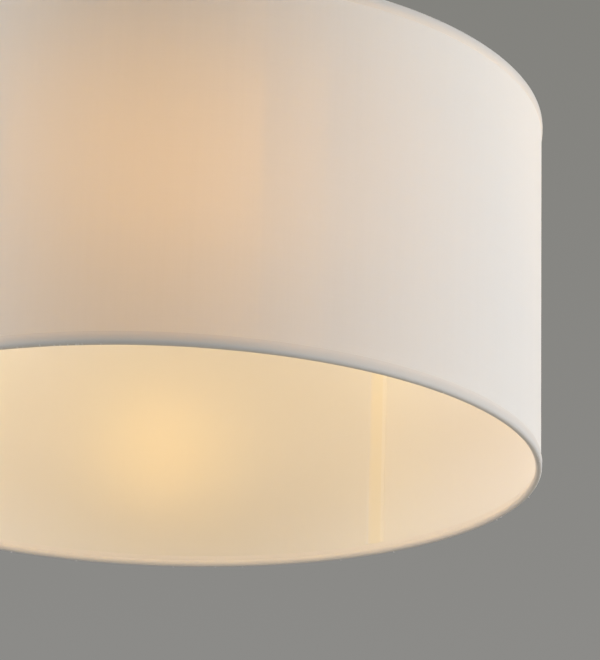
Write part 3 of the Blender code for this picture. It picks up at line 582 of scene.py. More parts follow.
@dataclass(frozen=True)
class LappedFinish(WallFinish):
    """Liner whose glued lap shows yellower, with a paler strip past the adhesive."""

    lap: Point = (0.0, 0.0)
    bare_edge: float = 0.0
    glued: Colour = (1.0, 1.0, 1.0)
    bare: Colour = (1.0, 1.0, 1.0)
    softness: float = 0.0004

    def face_colour(self, net: Net, weave: Signals) -> Signal:
        """Lay the lap's tints on the liner's colour.

        Args:
            net: the material's nodes.
            weave: the weave's outputs, and its flat coordinates as Cloth.

        Returns:
            The tinted colour.
        """
        along, colour = net.split(weave["Cloth"])[0], weave["Colour"]
        for spot, tint in ((self.lap[0], self.glued), (self.lap[1] - self.bare_edge, self.bare)):
            reached = net.remap(along, (spot - self.softness, spot + self.softness))
            colour = net.blend(reached, colour, rgba(tint))
        return colour


@dataclass(frozen=True)
class HemFinish(WallFinish):
    """Rolled hem whose colours run from its outer edge round the wire to its inner edge, with painted shade
    where the roll turns under.
    """

    length: float = 0.017
    face: tuple[tuple[float, Colour], ...] = ()
    glow: tuple[tuple[float, Colour], ...] = ()
    # Brown that darkens a patchy line where the roll turns under: partly grime, partly painted shade.
    grime_and_shade: Colour = (0.40, 0.35, 0.29)
    grime_and_shade_amount: float = 0.6
    grime_and_shade_depth: float = 0.7
    grime_and_shade_scale: float = 90.0
    grime_and_shade_line: float = 0.0084
    grime_and_shade_width: float = 0.0022
    fade: Point = (0.0008, 0.0062)

    def face_colour(self, net: Net, weave: Signals) -> Signal:
        """Tint the hem along its width, and darken a patchy brown line where the roll turns under, partly
        grime and partly painted shade.

        Args:
            net: the material's nodes.
            weave: the weave's outputs, and its flat coordinates as Cloth.

        Returns:
            The tinted and soiled colour.
        """
        along = net.split(weave["Cloth"])[1]
        clean = net.blend(1.0, weave["Colour"], net.ramp(along / self.length, self.face), "MULTIPLY")
        # Painted shade with grime: the line round the roll's underside is darkened in patches toward the
        # brown.
        away = net.math("ABSOLUTE", along - self.grime_and_shade_line)
        near = net.remap(away, (0.0, self.grime_and_shade_width), (1.0, 0.0))
        wear = net.effect(Effect.WEAR, {
            "Vector": weave["Cloth"], "Scale": self.grime_and_shade_scale, "Amount": near * self.grime_and_shade_amount,
        })
        return net.blend(wear["Mask"] * near * self.grime_and_shade_depth, clean, rgba(self.grime_and_shade))

    def beam_share(self, net: Net, weave: Signals) -> Signal:
        """Return how much light passes nearly straight on, none where the hem is rolled."""
        fade = net.remap(net.split(weave["Cloth"])[1], self.fade, (1.0, 0.0))
        return super().beam_share(net, weave) * fade

    def glow_colour(self, net: Net, weave: Signals) -> Signal:
        """Return the light that comes through, which fades where the hem is rolled."""
        return net.ramp(net.split(weave["Cloth"])[1] / self.length, self.glow)


@dataclass(frozen=True)
class LitGlassFinish(Finish):
    """Opal glass with the lamp lit behind it, softer to the eye than the light that it gives."""

    colour: Colour
    light: Colour
    power: float
    face: Colour
    edge: Colour
    edge_blend: float = 0.35
    roughness: float = 0.25
    spread: float = 0.08
    scale: float = 400.0
    shade: float = 0.94

    def surface(self, net: Net) -> Signal:
        """Show a soft glow to the camera, and give the room the lamp's light.

        Args:
            net: the material's nodes.

        Returns:
            The shader.
        """
        grain = net.effect(Effect.GRAIN, {
            "Vector": net.add("ShaderNodeTexCoord", output=Coordinates.OBJECT.value),
            "Colour": rgba(self.colour), "Tint": rgba(tuple(part * self.shade for part in self.colour)),
            "Scale": self.scale, "Roughness": self.roughness, "Spread": self.spread,
        })
        facing = net.add("ShaderNodeLayerWeight", {"Blend": self.edge_blend}, "Facing")
        seen = net.add("ShaderNodeBsdfPrincipled", {
            "Base Color": grain["Colour"],
            "Roughness": grain["Roughness"],
            "Emission Color": net.blend(facing, rgba(self.face), rgba(self.edge)),
            "Emission Strength": 1.0,
        })
        shine = net.add("ShaderNodeEmission", {"Color": rgba(self.light), "Strength": self.power})
        return net.mix_shaders(net.add("ShaderNodeLightPath", output="Is Camera Ray"), shine, seen)

    def material(self, name: str) -> bpy.types.Material:
        """Build the material, whose outer face alone is sampled as a light.

        Args:
            name: the material's name.

        Returns:
            The material.
        """
        material = super().material(name)
        material.cycles.emission_sampling = "FRONT"
        return material


FINISHES: dict[Slot, Finish] = {
    Slot.FABRIC: WallFinish(
        colour=(0.93, 0.92, 0.905), shadow=(0.87, 0.855, 0.835), through=(0.93, 0.92, 0.90), share=0.04,
        passing=(0.94, 0.94, 0.94), outward=(0.205, 0.195, 0.222), lampward=(0.94, 0.62, 0.13),
        middle_radius=0.22415, roughness=0.9, slubs=0.18, ahead=0.35, weft_slope=2.2, ior=1.3,
    ),
    Slot.LINER: LappedFinish(
        colour=(0.93, 0.915, 0.895), shadow=(0.91, 0.89, 0.86), through=(0.94, 0.92, 0.90), share=0.35,
        passing=(1.0, 1.0, 1.0), roughness=0.30, pitch=0.0011, slubs=0.3, pores=0.0, relief=0.000008,
        ior=1.70, gloss_tint=(1.0, 0.75, 0.05), lap=(1.40554, 1.41774), bare_edge=0.0027,
        glued=(0.955, 0.915, 0.83), bare=(0.985, 0.965, 0.93),
    ),
    Slot.HEM: HemFinish(
        colour=(0.94, 0.93, 0.915), shadow=(0.88, 0.86, 0.83), through=(0.9, 0.9, 0.9), share=0.18,
        passing=(0.95, 0.94, 0.90), roughness=0.85, pitch=0.0005, slubs=0.25, relief=0.00005, ahead=0.28,
        weft_slope=2.2, ior=1.3, grime_and_shade_amount=0.4,
        # The face stops run darker and browner at 0.48, where the roll turns under: a painted shade.
        face=((0.0, (0.985, 0.98, 0.975)), (0.32, (0.96, 0.955, 0.95)), (0.48, (0.93, 0.89, 0.83)),
              (0.60, (1.0, 0.95, 0.89)), (0.72, (1.0, 0.965, 0.93)), (1.0, (1.0, 0.97, 0.94))),
        glow=((0.0, (0.40, 0.37, 0.33)), (0.22, (0.32, 0.27, 0.21)), (0.42, (0.30, 0.24, 0.18)),
              (0.62, (0.60, 0.48, 0.37)), (0.78, (1.0, 0.92, 0.84)), (1.0, (1.0, 0.94, 0.87))),
    ),
    Slot.ADHESIVE: WallFinish(
        colour=(0.93, 0.89, 0.76), shadow=(0.90, 0.85, 0.70), through=(0.95, 0.91, 0.80), share=0.5,
        passing=(0.97, 0.94, 0.86), roughness=0.30, pitch=0.003, slubs=0.6, pores=0.0, relief=0.00001,
    ),
    Slot.ENAMEL: SolidFinish((0.82, 0.81, 0.79), (0.77, 0.755, 0.73), 0.36, 0.12, coat=0.25, scale=2600.0,
                             relief=0.000005, wear=0.16),
    Slot.MOULDING: SolidFinish((0.84, 0.83, 0.80), (0.80, 0.785, 0.745), 0.42, 0.14, scale=1800.0,
                               relief=0.00003, wear=0.12),
    Slot.CERAMIC: SolidFinish((0.80, 0.76, 0.68), (0.72, 0.66, 0.56), 0.30, 0.12, coat=0.4, scale=1400.0,
                              relief=0.00003, worn=(0.45, 0.38, 0.30), wear=0.25),
    Slot.STEEL: SolidFinish((0.60, 0.59, 0.58), (0.50, 0.49, 0.47), 0.30, 0.18, 1.0, scale=500.0,
                            stretch=(1.0, 1.0, 9.0), worn=(0.30, 0.24, 0.18), wear=0.3),
    Slot.BRASS: SolidFinish((0.78, 0.58, 0.28), (0.66, 0.46, 0.20), 0.28, 0.20, 1.0, scale=600.0,
                            stretch=(1.0, 1.0, 8.0), worn=(0.36, 0.24, 0.10), wear=0.35),
    Slot.NICKEL: SolidFinish((0.70, 0.68, 0.65), (0.60, 0.57, 0.53), 0.24, 0.16, 1.0,
                             stretch=(1.0, 1.0, 8.0), worn=(0.42, 0.36, 0.30), wear=0.28),
    Slot.OPAL: LitGlassFinish(
        colour=(0.90, 0.87, 0.80), light=(1.0, 0.70, 0.29), power=13.4, face=(1.0, 0.90, 0.66),
        edge=(0.95, 0.70, 0.36),
    ),
    Slot.STEM_GLASS: SolidFinish((0.88, 0.91, 0.90), (0.84, 0.88, 0.87), 0.06, 0.05, scale=300.0,
                                 relief=0.00001, wear=0.05, transmission=0.9),
    Slot.BLACK_GLASS: SolidFinish((0.030, 0.030, 0.034), (0.05, 0.045, 0.045), 0.16, 0.12, coat=0.5,
                                  scale=900.0, worn=(0.16, 0.15, 0.14)),
    Slot.SOLDER: SolidFinish((0.60, 0.60, 0.60), (0.48, 0.48, 0.47), 0.38, 0.20, 1.0, scale=1500.0,
                             relief=0.00008, worn=(0.30, 0.29, 0.27), wear=0.4),
    Slot.BOARD: SolidFinish((0.06, 0.24, 0.10), (0.04, 0.17, 0.07), 0.48, 0.14, coat=0.3, scale=1100.0,
                            worn=(0.55, 0.48, 0.25), wear=0.22),
    Slot.PHOSPHOR: SolidFinish((0.90, 0.62, 0.12), (0.80, 0.48, 0.06), 0.60, 0.15, scale=2400.0,
                               relief=0.00005),
}
FLOOR_FINISH = SolidFinish((0.86, 0.855, 0.84), (0.82, 0.815, 0.80), 0.75, scale=3.0, relief=0.0, wear=0.0)


def finished_mesh(bm: bmesh.types.BMesh, name: str) -> Mesh:
    """Close a bmesh into a smooth-shaded mesh with its faces outward.

    Args:
        bm: the bmesh, which is freed.
        name: the mesh's name.

    Returns:
        The mesh.
    """
    bmesh.ops.remove_doubles(bm, verts=bm.verts, dist=TOUCHING)
    bmesh.ops.recalc_face_normals(bm, faces=bm.faces)
    mesh = bpy.data.meshes.new(name)
    bm.to_mesh(mesh)
    bm.free()
    mesh.shade_smooth()
    mesh.set_sharp_from_angle(angle=SHARP_ANGLE)
    return mesh


def softened(corners: Sequence[tuple[float, ...]], closed: bool = True, steps: int = 4) -> list[Point]:
    """Round the corners of an outline.

    Args:
        corners: (radius, height) points, with a rounding as a third number where there is one.
        closed: whether the last corner joins the first.
        steps: how many edges make up each rounding.

    Returns:
        The outline's points.
    """
    points: list[Point] = []
    for index, corner in enumerate(corners):
        here, rounding = Vector(corner[:2]), sum(corner[2:])
        if not rounding or not (closed or 0 < index < len(corners) - 1):
            points.append((here.x, here.y))
            continue
        sides = [Vector(corners[other % len(corners)][:2]) - here for other in (index - 1, index + 1)]
        reaches = [min(rounding, side.length * ROUNDING_LIMIT) for side in sides]
        start, end = (here + side.normalized() * reach for side, reach in zip(sides, reaches))
        for share in shares(steps):
            spot = start * (1 - share) ** 2 + here * (2 * share * (1 - share)) + end * share**2
            points.append((spot.x, spot.y))
    return points


def ruled(start: Point, end: Point, spacing: float) -> list[Point]:
    """Return points from start to end, closer together than the spacing."""
    (x, y), parts = start, shares(math.ceil(math.dist(start, end) / spacing))
    return [(x + (end[0] - x) * share, y + (end[1] - y) * share) for share in parts]


def revolved(name: str, outline: Sequence[Point], segments: int, closed: bool = True) -> Mesh:
    """Turn an outline about Z, with flat coordinates in metres.

    Args:
        name: the mesh's name.
        outline: (radius, height) points, from pole to pole where it isn't closed.
        segments: how many steps go round.
        closed: whether the last point joins the first.

    Returns:
        The mesh.
    """
    bm = bmesh.new()
    flat = bm.loops.layers.uv.new("UVMap")
    reach = max(radius for radius, _ in outline)
    rows = []
    for radius, height in outline:
        if radius < TOUCHING:
            rows.append([bm.verts.new((0.0, 0.0, height))] * segments)
        else:
            rows.append([bm.verts.new((*polar(radius, turn), height)) for turn in circle(segments)])
    length = 0.0
    for row in range(len(rows) - (not closed)):
        following_row = (row + 1) % len(rows)
        lower, upper = rows[row], rows[following_row]
        ends = (length, length + math.dist(outline[row], outline[following_row]))
        length = ends[1]
        for step in range(segments):
            following = (step + 1) % segments
            corners = [
                (lower[step], step, ends[0]), (lower[following], step + 1, ends[0]),
                (upper[following], step + 1, ends[1]), (upper[step], step, ends[1]),
            ]
            if corners[0][0] is corners[1][0]:
                corners.pop(1)
            if corners[-1][0] is corners[-2][0]:
                corners.pop()
            face = bm.faces.new([corner[0] for corner in corners])
            for loop, (_, turn, along) in zip(face.loops, corners):
                loop[flat].uv = (math.tau * reach * turn / segments, along)
    return finished_mesh(bm, name)


def flat_strip(name: str, stations: Sequence[Station], rows: int) -> Mesh:
    """Lay a thin strip flat, before it is rolled.

    Args:
        name: the mesh's name.
        stations: (distance along, depth of the face, depth of the back, low, high).
        rows: how many steps go up the strip.

    Returns:
        The mesh, its length along X, its thickness along Y and its height along Z.
    """
    bm = bmesh.new()
    flat = bm.loops.layers.uv.new("UVMap")
    loops, faces = [], []
    for distance, face, back, low, high in stations:
        heights = [low + (high - low) * share for share in shares(rows)]
        spots = [(distance, face, height) for height in heights]
        spots += [(distance, back, height) for height in reversed(heights)]
        loops.append([bm.verts.new(spot) for spot in spots])
    size = 2 * rows + 2
    for one, other in zip(loops, loops[1:]):
        for corner in range(size):
            following = (corner + 1) % size
            faces.append(bm.faces.new((one[corner], one[following], other[following], other[corner])))
    for loop in (loops[0], loops[-1]):
        for row in range(rows):
            faces.append(bm.faces.new((loop[row], loop[row + 1], loop[-row - 2], loop[-row - 1])))
    for face in faces:
        for loop in face.loops:
            loop[flat].uv = (loop.vert.co.x, loop.vert.co.z)
    return finished_mesh(bm, name)


def wire_roll(net: Net, given: Signals) -> Signal:
    """Roll a flat strip round the axis, with the slight waves of stretched cloth.

    Args:
        net: the tree's nodes.
        given: its inputs.

    Returns:
        The rolled strip.
    """
    along, depth, height = net.split(net.add("GeometryNodeInputPosition"))
    waves = net.noise(net.join(along, 0.0, height), given["Wave Scale"], 1.0)
    radius = given["Radius"] - depth + (waves - 0.5) * given["Wave Height"]
    turn = given["Start"] - along / given["Radius"]
    x, y = (radius * net.math(wave, turn) for wave in ("COSINE", "SINE"))
    inputs = {"Geometry": given["Geometry"], "Position": net.join(x, y, height)}
    return net.add("GeometryNodeSetPosition", inputs)


def wire_thread(net: Net, given: Signals) -> Signal:
    """Sink a helical groove into one band of a turned wall.

    Args:
        net: the tree's nodes.
        given: its inputs.

    Returns:
        The wall with its thread.
    """
    x, y, z = net.split(net.add("GeometryNodeInputPosition"))
    radius = net.math("SQRT", x * x + y * y)
    phase = z / given["Pitch"] - net.math("ARCTAN2", y, x) / math.tau
    wave = net.math("COSINE", phase * math.tau)
    groove = net.math("MULTIPLY_ADD", wave, given["Flank"] * -0.5, 0.5, clamp=True)
    rise, fall = (
        net.math("DIVIDE", z - start, given["Run Out"], clamp=True)
        for start in (given["Low"], given["High"] - given["Run Out"])
    )
    on_wall = net.math("LESS_THAN", net.math("ABSOLUTE", radius - given["Wall"]), given["Reach"])
    depth = rise * (1.0 - fall) * (groove * given["Depth"])
    inward = depth * on_wall / radius * -1.0
    inputs = {"Geometry": given["Geometry"], "Offset": net.join(x * inward, y * inward, 0.0)}
    return net.add("GeometryNodeSetPosition", inputs)


def wire_ribs(net: Net, given: Signals) -> Signal:
    """Stand soft ribs side by side round a body and keep the body with them.

    Args:
        net: the tree's nodes.
        given: its inputs.

    Returns:
        The body with its ribs.
    """
    ring = net.add("GeometryNodeMeshCircle", {"Vertices": given["Count"], "Radius": given["Radius"]})
    lift = net.join(0.0, 0.0, (given["Low"] + given["High"]) * 0.5)
    bar = {"Vertices": 16, "Radius": 1.0, "Depth": given["High"] - given["Low"]}
    turn = net.add("GeometryNodeInputIndex") / given["Count"] * math.tau
    ribs = net.add("GeometryNodeInstanceOnPoints", {
        "Points": net.add("GeometryNodeSetPosition", {"Geometry": ring, "Offset": lift}),
        "Instance": net.add("GeometryNodeMeshCylinder", bar, "Mesh"),
        "Rotation": net.join(0.0, 0.0, turn),
        "Scale": net.join(given["Height"], given["Half Width"], 1.0),
    })
    return net.add("GeometryNodeJoinGeometry", {0: [given["Geometry"], ribs]})


def wire_sweep(net: Net, given: Signals) -> Signal:
    """Run a round wire along a curve.

    Args:
        net: the tree's nodes.
        given: its inputs.

    Returns:
        The wire.
    """
    size = {"Resolution": given["Sides"], "Radius": given["Wire Radius"]}
    section = net.add("GeometryNodeCurvePrimitiveCircle", size)
    inputs = {"Curve": given["Geometry"], "Profile Curve": section, "Fill Caps": True}
    return net.add("GeometryNodeCurveToMesh", inputs)


def wire_fray(net: Net, given: Signals) -> Signal:
    """Scatter short loose thread ends along an arc.

    Args:
        net: the tree's nodes.
        given: its inputs.

    Returns:
        The hem with its threads.
    """
    leans, lengths, twists = (-0.9, 0.9), (0.35, 1.0), (-0.5, 0.5)
    # The Random Value node takes plain numbers at its inputs 2 and 3 and gives one at its output 1.
    turn, lean, size, twist = (
        net.add("FunctionNodeRandomValue", {2: low, 3: high, "Seed": given["Seed"] + float(draw)}, 1,
                data_type="FLOAT")
        for draw, (low, high) in enumerate(((given["Start"], given["End"]), leans, lengths, twists))
    )
    x, y = (net.math(wave, turn) * given["Radius"] for wave in ("COSINE", "SINE"))
    line = net.add("GeometryNodeMeshLine", {"Count": given["Count"]})
    spots = {"Geometry": line, "Position": net.join(x, y, given["Level"])}
    end = {"Vertices": 6, "Radius": given["Thread Radius"], "Depth": given["Length"]}
    threads = net.add("GeometryNodeInstanceOnPoints", {
        "Points": net.add("GeometryNodeSetPosition", spots),
        "Instance": net.add("GeometryNodeMeshCylinder", end, "Mesh"),
        "Rotation": net.join(twist, lean, turn),
        "Scale": net.join(1.0, 1.0, size),
    })
    return net.add("GeometryNodeJoinGeometry", {0: [given["Geometry"], threads]})


def build_shape(shape: Shape, sizes: dict[str, Any], wire: Callable[[Net, Signals], Signal]) -> None:
    """Build a Geometry Nodes tree, which ends in Realize Instances and Set Material.

    Args:
        shape: the tree's name.
        sizes: its named inputs with their defaults.
        wire: adds the nodes and returns the geometry that they make.
    """
    def wire_whole(net: Net, given: Signals) -> Signals:
        """Realize the geometry, give it its finish and return it."""
        whole = net.add("GeometryNodeRealizeInstances", {0: wire(net, given)})
        return {"Geometry": net.add("GeometryNodeSetMaterial", {0: whole, "Material": given["Finish"]})}

    inputs = {"Geometry": "Geometry"} | sizes | {"Finish": "Material"}
    build_group(shape.value, "GeometryNodeTree", inputs, {"Geometry": "Geometry"}, wire_whole)


def build_shapes() -> None:
    """Build the Geometry Nodes trees."""
    build_shape(Shape.ROLL, {"Radius": 0.2, "Start": 0.0, "Wave Height": 0.0, "Wave Scale": 9.0}, wire_roll)
    build_shape(Shape.THREAD, {
        "Wall": 0.02, "Reach": 0.001, "Low": -0.02, "High": 0.0, "Pitch": 0.0025, "Depth": 0.0006,
        "Flank": 1.0, "Run Out": 0.002,
    }, wire_thread)
    build_shape(Shape.RIBS, {
        "Count": 18, "Radius": 0.025, "Low": -0.005, "High": 0.0, "Height": 0.0008, "Half Width": 0.002,
    }, wire_ribs)
    build_shape(Shape.SWEEP, {"Wire Radius": 0.0015, "Sides": 16}, wire_sweep)
    build_shape(Shape.FRAY, {
        "Count": 12, "Start": 0.0, "End": 1.0, "Radius": 0.2, "Level": 0.0, "Length": 0.001,
        "Thread Radius": 0.0001, "Seed": 7,
    }, wire_fray)


@dataclass
class Workshop:
    """What every sub-assembly is built with: the frame's nodes and a material for each slot."""

    nodes: dict[str, Piece]
    materials: dict[Slot, bpy.types.Material] = field(init=False)

    def __post_init__(self) -> None:
        """Build the node groups, and one material for each slot of the record."""
        build_effects()
        build_shapes()
        self.materials = {slot: finish.material(slot.value) for slot, finish in FINISHES.items()}

    def grown(self, data: bpy.types.ID, shape: Shape, slot: Slot, sizes: dict[str, float]) -> Mesh:
        """Run a Geometry Nodes tree on a mesh or curve.

        Args:
            data: what the tree starts from.
            shape: the tree.
            slot: the finish that it sets.
            sizes: the tree's inputs by name.

        Returns:
            The result as a plain mesh.
        """
        carrier = bpy.data.objects.new(data.name + "_carrier", data)
        bpy.context.scene.collection.objects.link(carrier)
        modifier = carrier.modifiers.new("shape", "NODES")
        modifier.node_group = bpy.data.node_groups[shape.value]
        values = sizes | {"Finish": self.materials[slot]}
        for item in modifier.node_group.interface.items_tree:
            if item.in_out == "INPUT" and item.name in values:
                modifier[item.identifier] = values[item.name]
        graph = bpy.context.evaluated_depsgraph_get()
        bm = bmesh.new()
        bm.from_mesh(bpy.data.meshes.new_from_object(carrier.evaluated_get(graph)))
        bpy.data.objects.remove(carrier)
        mesh = finished_mesh(bm, data.name)
        mesh.materials.append(self.materials[slot])
        return mesh

    def place(self, name: str, data: bpy.types.ID, slot: Slot, body: Body, node: str,
              *shapes: tuple[Shape, dict[str, float]]) -> Piece:
        """Shape a piece with Geometry Nodes and set it on its body in the place of its solid.

        Args:
            name: the piece's name.
            data: the mesh or curve that it starts from.
            slot: its finish.
            body: what it rides on.
            node: the solid that it stands for.
            shapes: the trees that run on it in turn, each with its inputs by name.

        Returns:
            The piece.
        """
        for shape, sizes in shapes:
            data = self.grown(data, shape, slot, sizes)
        piece = bpy.data.objects.new(name, data)
        bpy.context.scene.collection.objects.link(piece)
        if not data.materials:
            data.materials.append(self.materials[slot])
        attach(piece, body.value)
        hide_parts(node)
        LOG.info("%s: %d faces on %s", name, len(data.polygons), body.value)
        return piece

    def refinish(self, slot: Slot, *names: str) -> None:
        """Give solids whose shape is right their detailed finish.

        Args:
            slot: the finish.
            names: the solids.
        """
        for name in names:
            node = self.nodes[name]
            if not node.material_slots:
                node.data.materials.append(None)
            for holder in node.material_slots:
                holder.material = self.materials[slot]
            LOG.info("%s: refinished as %s", name, slot.value)


@dataclass
class Assembly:
    """Sub-assembly that is built and dressed with the workshop's tools."""

    shop: Workshop

    def build(self) -> None:
        """Build and dress the whole sub-assembly."""
        raise NotImplementedError


@dataclass
class Shade(Assembly):
    """Drum shade: cover, liner, adhesive, ring wires and rolled hems."""

    radius: float = 0.225
    top: float = -0.0426
    bottom: float = -0.2631
    fabric: float = 0.0004
    liner: float = 0.00035
    gap: float = 0.00025
    edge_gap: float = 0.0003
    seam_azimuth: float = math.radians(52.4)
    overlap: float = 0.0122
    seam_step: float = 0.0015
    seam_trim: float = 0.0015
    tape: float = 0.0002
    tape_margin: float = 0.0008
    butt_seam: float = 0.0006
    ring_wire: float = 0.0013
    ring_sides: int = 12
    hem: float = 0.0004
    hem_width: float = 0.0072
    hem_wrap: float = math.radians(230)
    hem_steps: int = 16
    flap_spacing: float = 0.001
    segments: int = 384
    rows: int = 12
    wave_height: float = 0.00006
    wave_scale: float = 7.0
    edge_taper: float = 0.0022
    edge_thickness: float = 0.00012
    edge_clearance: float = 0.00005
    fray_arcs: tuple[tuple[float, float, int], ...] = (
        (243.0, 262.0, 16), (300.0, 420.0, 9), (60.0, 230.0, 10),
    )
    fray_seeds: tuple[int, ...] = (11, 16, 21)
    fray_outset: float = 0.0009
    fray_root: float = 0.0002
    fray_length: float = 0.0022
    fray_radius: float = 0.0002

    def __post_init__(self) -> None:
        """Work out the radii from the outside in, and the panels' and the lap's span of levels."""
        self.rim = self.ring_wire + self.gap + self.hem
        self.rim_centre = self.radius - self.rim
        self.cover_radius = self.radius - self.hem - self.gap
        self.liner_radius = self.cover_radius - self.fabric - self.gap
        self.flap_radius = self.liner_radius - self.liner - self.gap
        self.tongue_radius = self.flap_radius - self.tape - self.gap
        self.panel, self.lap = (
            (self.bottom + edge, self.top - edge)
            for edge in (self.rim + self.ring_wire + self.edge_gap, self.hem_width + self.edge_gap)
        )

    def stations(self, radius: float, start: float, end: float, face: float, thickness: float,
                 span: Point) -> list[Station]:
        """Stations of a strip whose thickness and height stay the same.

        Args:
            radius: the radius that distances are measured at.
            start: first azimuth, counted down from the seam.
            end: last azimuth.
            face: radius of the outer face.
            thickness: how far inside it the inner face lies.
            span: lowest and highest level.

        Returns:
            Stations for flat_strip.
        """
        count = max(2, math.ceil(self.segments * (end - start) / math.tau))
        depths = (radius - face, radius - (face - thickness))
        return [((start + (end - start) * share) * radius, *depths, *span) for share in shares(count)]

    def roll(self, name: str, stations: list[Station], radius: float, slot: Slot, node: str) -> Piece:
        """Roll a flat strip into its place on the drum.

        Args:
            name: the piece's name.
            stations: the strip's stations.
            radius: the radius that their distances are measured at.
            slot: its finish.
            node: the solid that it stands for.

        Returns:
            The piece.
        """
        sizes = {"Radius": radius, "Start": self.seam_azimuth, "Wave Height": self.wave_height,
                 "Wave Scale": self.wave_scale}
        strip = flat_strip(name, stations, self.rows)
        return self.shop.place(name, strip, slot, Body.SHADE, node, (Shape.ROLL, sizes))

    def build_panels(self) -> Piece:
        """Build the cover with its butt seam, the lapped liner, and the adhesive in the lap.

        Returns:
            The cover.
        """
        half, lap = self.butt_seam / 2 / self.radius, self.overlap / self.radius
        radius = self.cover_radius
        stations = self.stations(radius, half, math.tau - half, radius, self.fabric, self.panel)
        cover = self.roll("shade_cover", stations, radius, Slot.FABRIC, "shade_fabric")

        radius = self.liner_radius
        stepped = math.tau - self.seam_step / self.radius
        trimmed = stepped - self.seam_trim / self.radius
        stations = self.stations(radius, half, trimmed, radius, self.liner, self.panel)
        stations.append((stepped * radius, 0.0, self.liner, *self.lap))
        stations += self.stations(radius, math.tau, math.tau + lap, self.tongue_radius, self.liner, self.lap)
        self.roll("shade_lining", stations, radius, Slot.LINER, "shade_liner")

        radius = self.flap_radius
        margin = self.tape_margin / self.radius
        span = (self.lap[0] + self.tape_margin, self.lap[1] - self.tape_margin)
        stations = self.stations(radius, margin, lap - margin, radius, self.tape, span)
        self.roll("seam_adhesive", stations, radius, Slot.ADHESIVE, "seam_tape")
        return cover

    def hem_face(self, wrap: float, outer: float, inner: float) -> list[Point]:
        """One face of the hem, down the outside, round the wire and up the inside.

        Args:
            wrap: radius of the roll round the wire.
            outer: radius of the outer flap.
            inner: radius of the inner flap.

        Returns:
            (radius, distance from the drum's edge) points.
        """
        thin = self.edge_thickness / self.hem
        tapered = self.hem_width - self.edge_taper
        outer_edge = self.cover_radius + self.edge_clearance + thin * (outer - self.radius + self.hem)
        inner_edge = self.liner_radius - self.liner - self.edge_clearance - thin * (self.flap_radius - inner)
        points = [(outer_edge, self.hem_width)]
        points += ruled((outer, tapered), (outer, self.rim), self.flap_spacing)[:-1]
        turns = [-self.hem_wrap * share for share in shares(self.hem_steps)]
        points += [polar(wrap, turn, self.rim_centre, self.rim) for turn in turns]
        radius, height = points[-1]
        points.append((inner, height + (inner - radius) / math.tan(self.hem_wrap)))
        return points + [(inner, tapered), (inner_edge, self.hem_width)]

    def build_hems(self) -> list[Piece]:
        """Build both rolled hems, the lower one frayed, and the ring wires inside them.

        Returns:
            The hems.
        """
        section = self.hem_face(self.rim, self.radius, self.flap_radius - self.hem)
        section += self.hem_face(self.rim - self.hem, self.radius - self.hem, self.flap_radius)[::-1]
        frays = [(Shape.FRAY, {
            "Count": count, "Start": math.radians(start), "End": math.radians(end), "Seed": seed,
            "Radius": self.rim_centre + self.fray_outset, "Level": self.bottom + self.fray_root,
            "Length": self.fray_length, "Thread Radius": self.fray_radius,
        }) for seed, (start, end, count) in zip(self.fray_seeds, self.fray_arcs)]
        hems = []
        for end, level, sign, shapes in (("bottom", self.bottom, 1, frays), ("top", self.top, -1, [])):
            name, node = end + "_hem", end + "_hem_tape"
            outline = [(radius, level + sign * height) for radius, height in section]
            mesh = revolved(name, outline, self.segments)
            hems.append(self.shop.place(name, mesh, Slot.HEM, Body.SHADE, node, *shapes))
            name, centre = end + "_ring", (self.rim_centre, level + sign * self.rim)
            outline = [polar(self.ring_wire, turn, *centre) for turn in circle(self.ring_sides)]
            mesh = revolved(name, outline, self.segments // 2)
            self.shop.place(name, mesh, Slot.STEEL, Body.SHADE, end + "_ring_wire")
        return hems

    def build(self) -> None:
        """Build and dress the shade, and work out its cover's flat size."""
        cover = self.build_panels()
        hems = self.build_hems()
        low, high = self.panel
        flat = (math.tau * self.cover_radius - self.butt_seam, high - low)


@dataclass
class Spider(Assembly):
    """Three bent wire arms and the fitter plate."""

    azimuths: tuple[float, ...] = (90.0, 210.0, 330.0)
    wire: float = 0.0015
    wire_sides: int = 20
    outer_end: float = 0.22145
    inner_end: float = 0.027
    bend: Point = (0.070, 0.040)
    bend_points: int = 24
    point_spacing: float = 0.02
    ring_level: float = -0.04455
    plate_level: float = -0.0528
    plate_radii: Point = (0.021, 0.033)
    plate_levels: Point = (-0.0561, -0.0546)
    plate_segments: int = 128
    rounding: float = 0.0004

    def route(self) -> list[Point]:
        """Centre line of an arm, from the ring wire to the plate.

        Returns:
            (radius, height) points.
        """
        start, end = self.bend
        points = ruled((self.outer_end, self.ring_level), (start, self.ring_level), self.point_spacing)[:-1]
        for share in shares(self.bend_points):
            fall = (1 - math.cos(math.pi * share)) / 2
            level = self.ring_level + (self.plate_level - self.ring_level) * fall
            points.append((start + (end - start) * share, level))
        return points + [(self.inner_end, self.plate_level)]

    def build(self) -> None:
        """Build and dress the arms and the plate."""
        route = self.route()
        for number, azimuth in enumerate(self.azimuths, 1):
            name = "spider_wire_%d" % number
            curve = bpy.data.curves.new(name, "CURVE")
            curve.dimensions = "3D"
            spline = curve.splines.new("POLY")
            spline.points.add(len(route) - 1)
            for point, (radius, height) in zip(spline.points, route):
                point.co = (*polar(radius, math.radians(azimuth)), height, 1.0)
            sweep = (Shape.SWEEP, {"Wire Radius": self.wire, "Sides": self.wire_sides})
            self.shop.place(name, curve, Slot.ENAMEL, Body.SHADE, "spider_arm_%d" % number, sweep)
        hole, rim = self.plate_radii
        low, high = self.plate_levels
        corners = [(*spot, self.rounding) for spot in ((hole, low), (rim, low), (rim, high), (hole, high))]
        mesh = revolved("fitter_washer", softened(corners), self.plate_segments)
        self.shop.place("fitter_washer", mesh, Slot.ENAMEL, Body.PLATE, "fitter_plate")


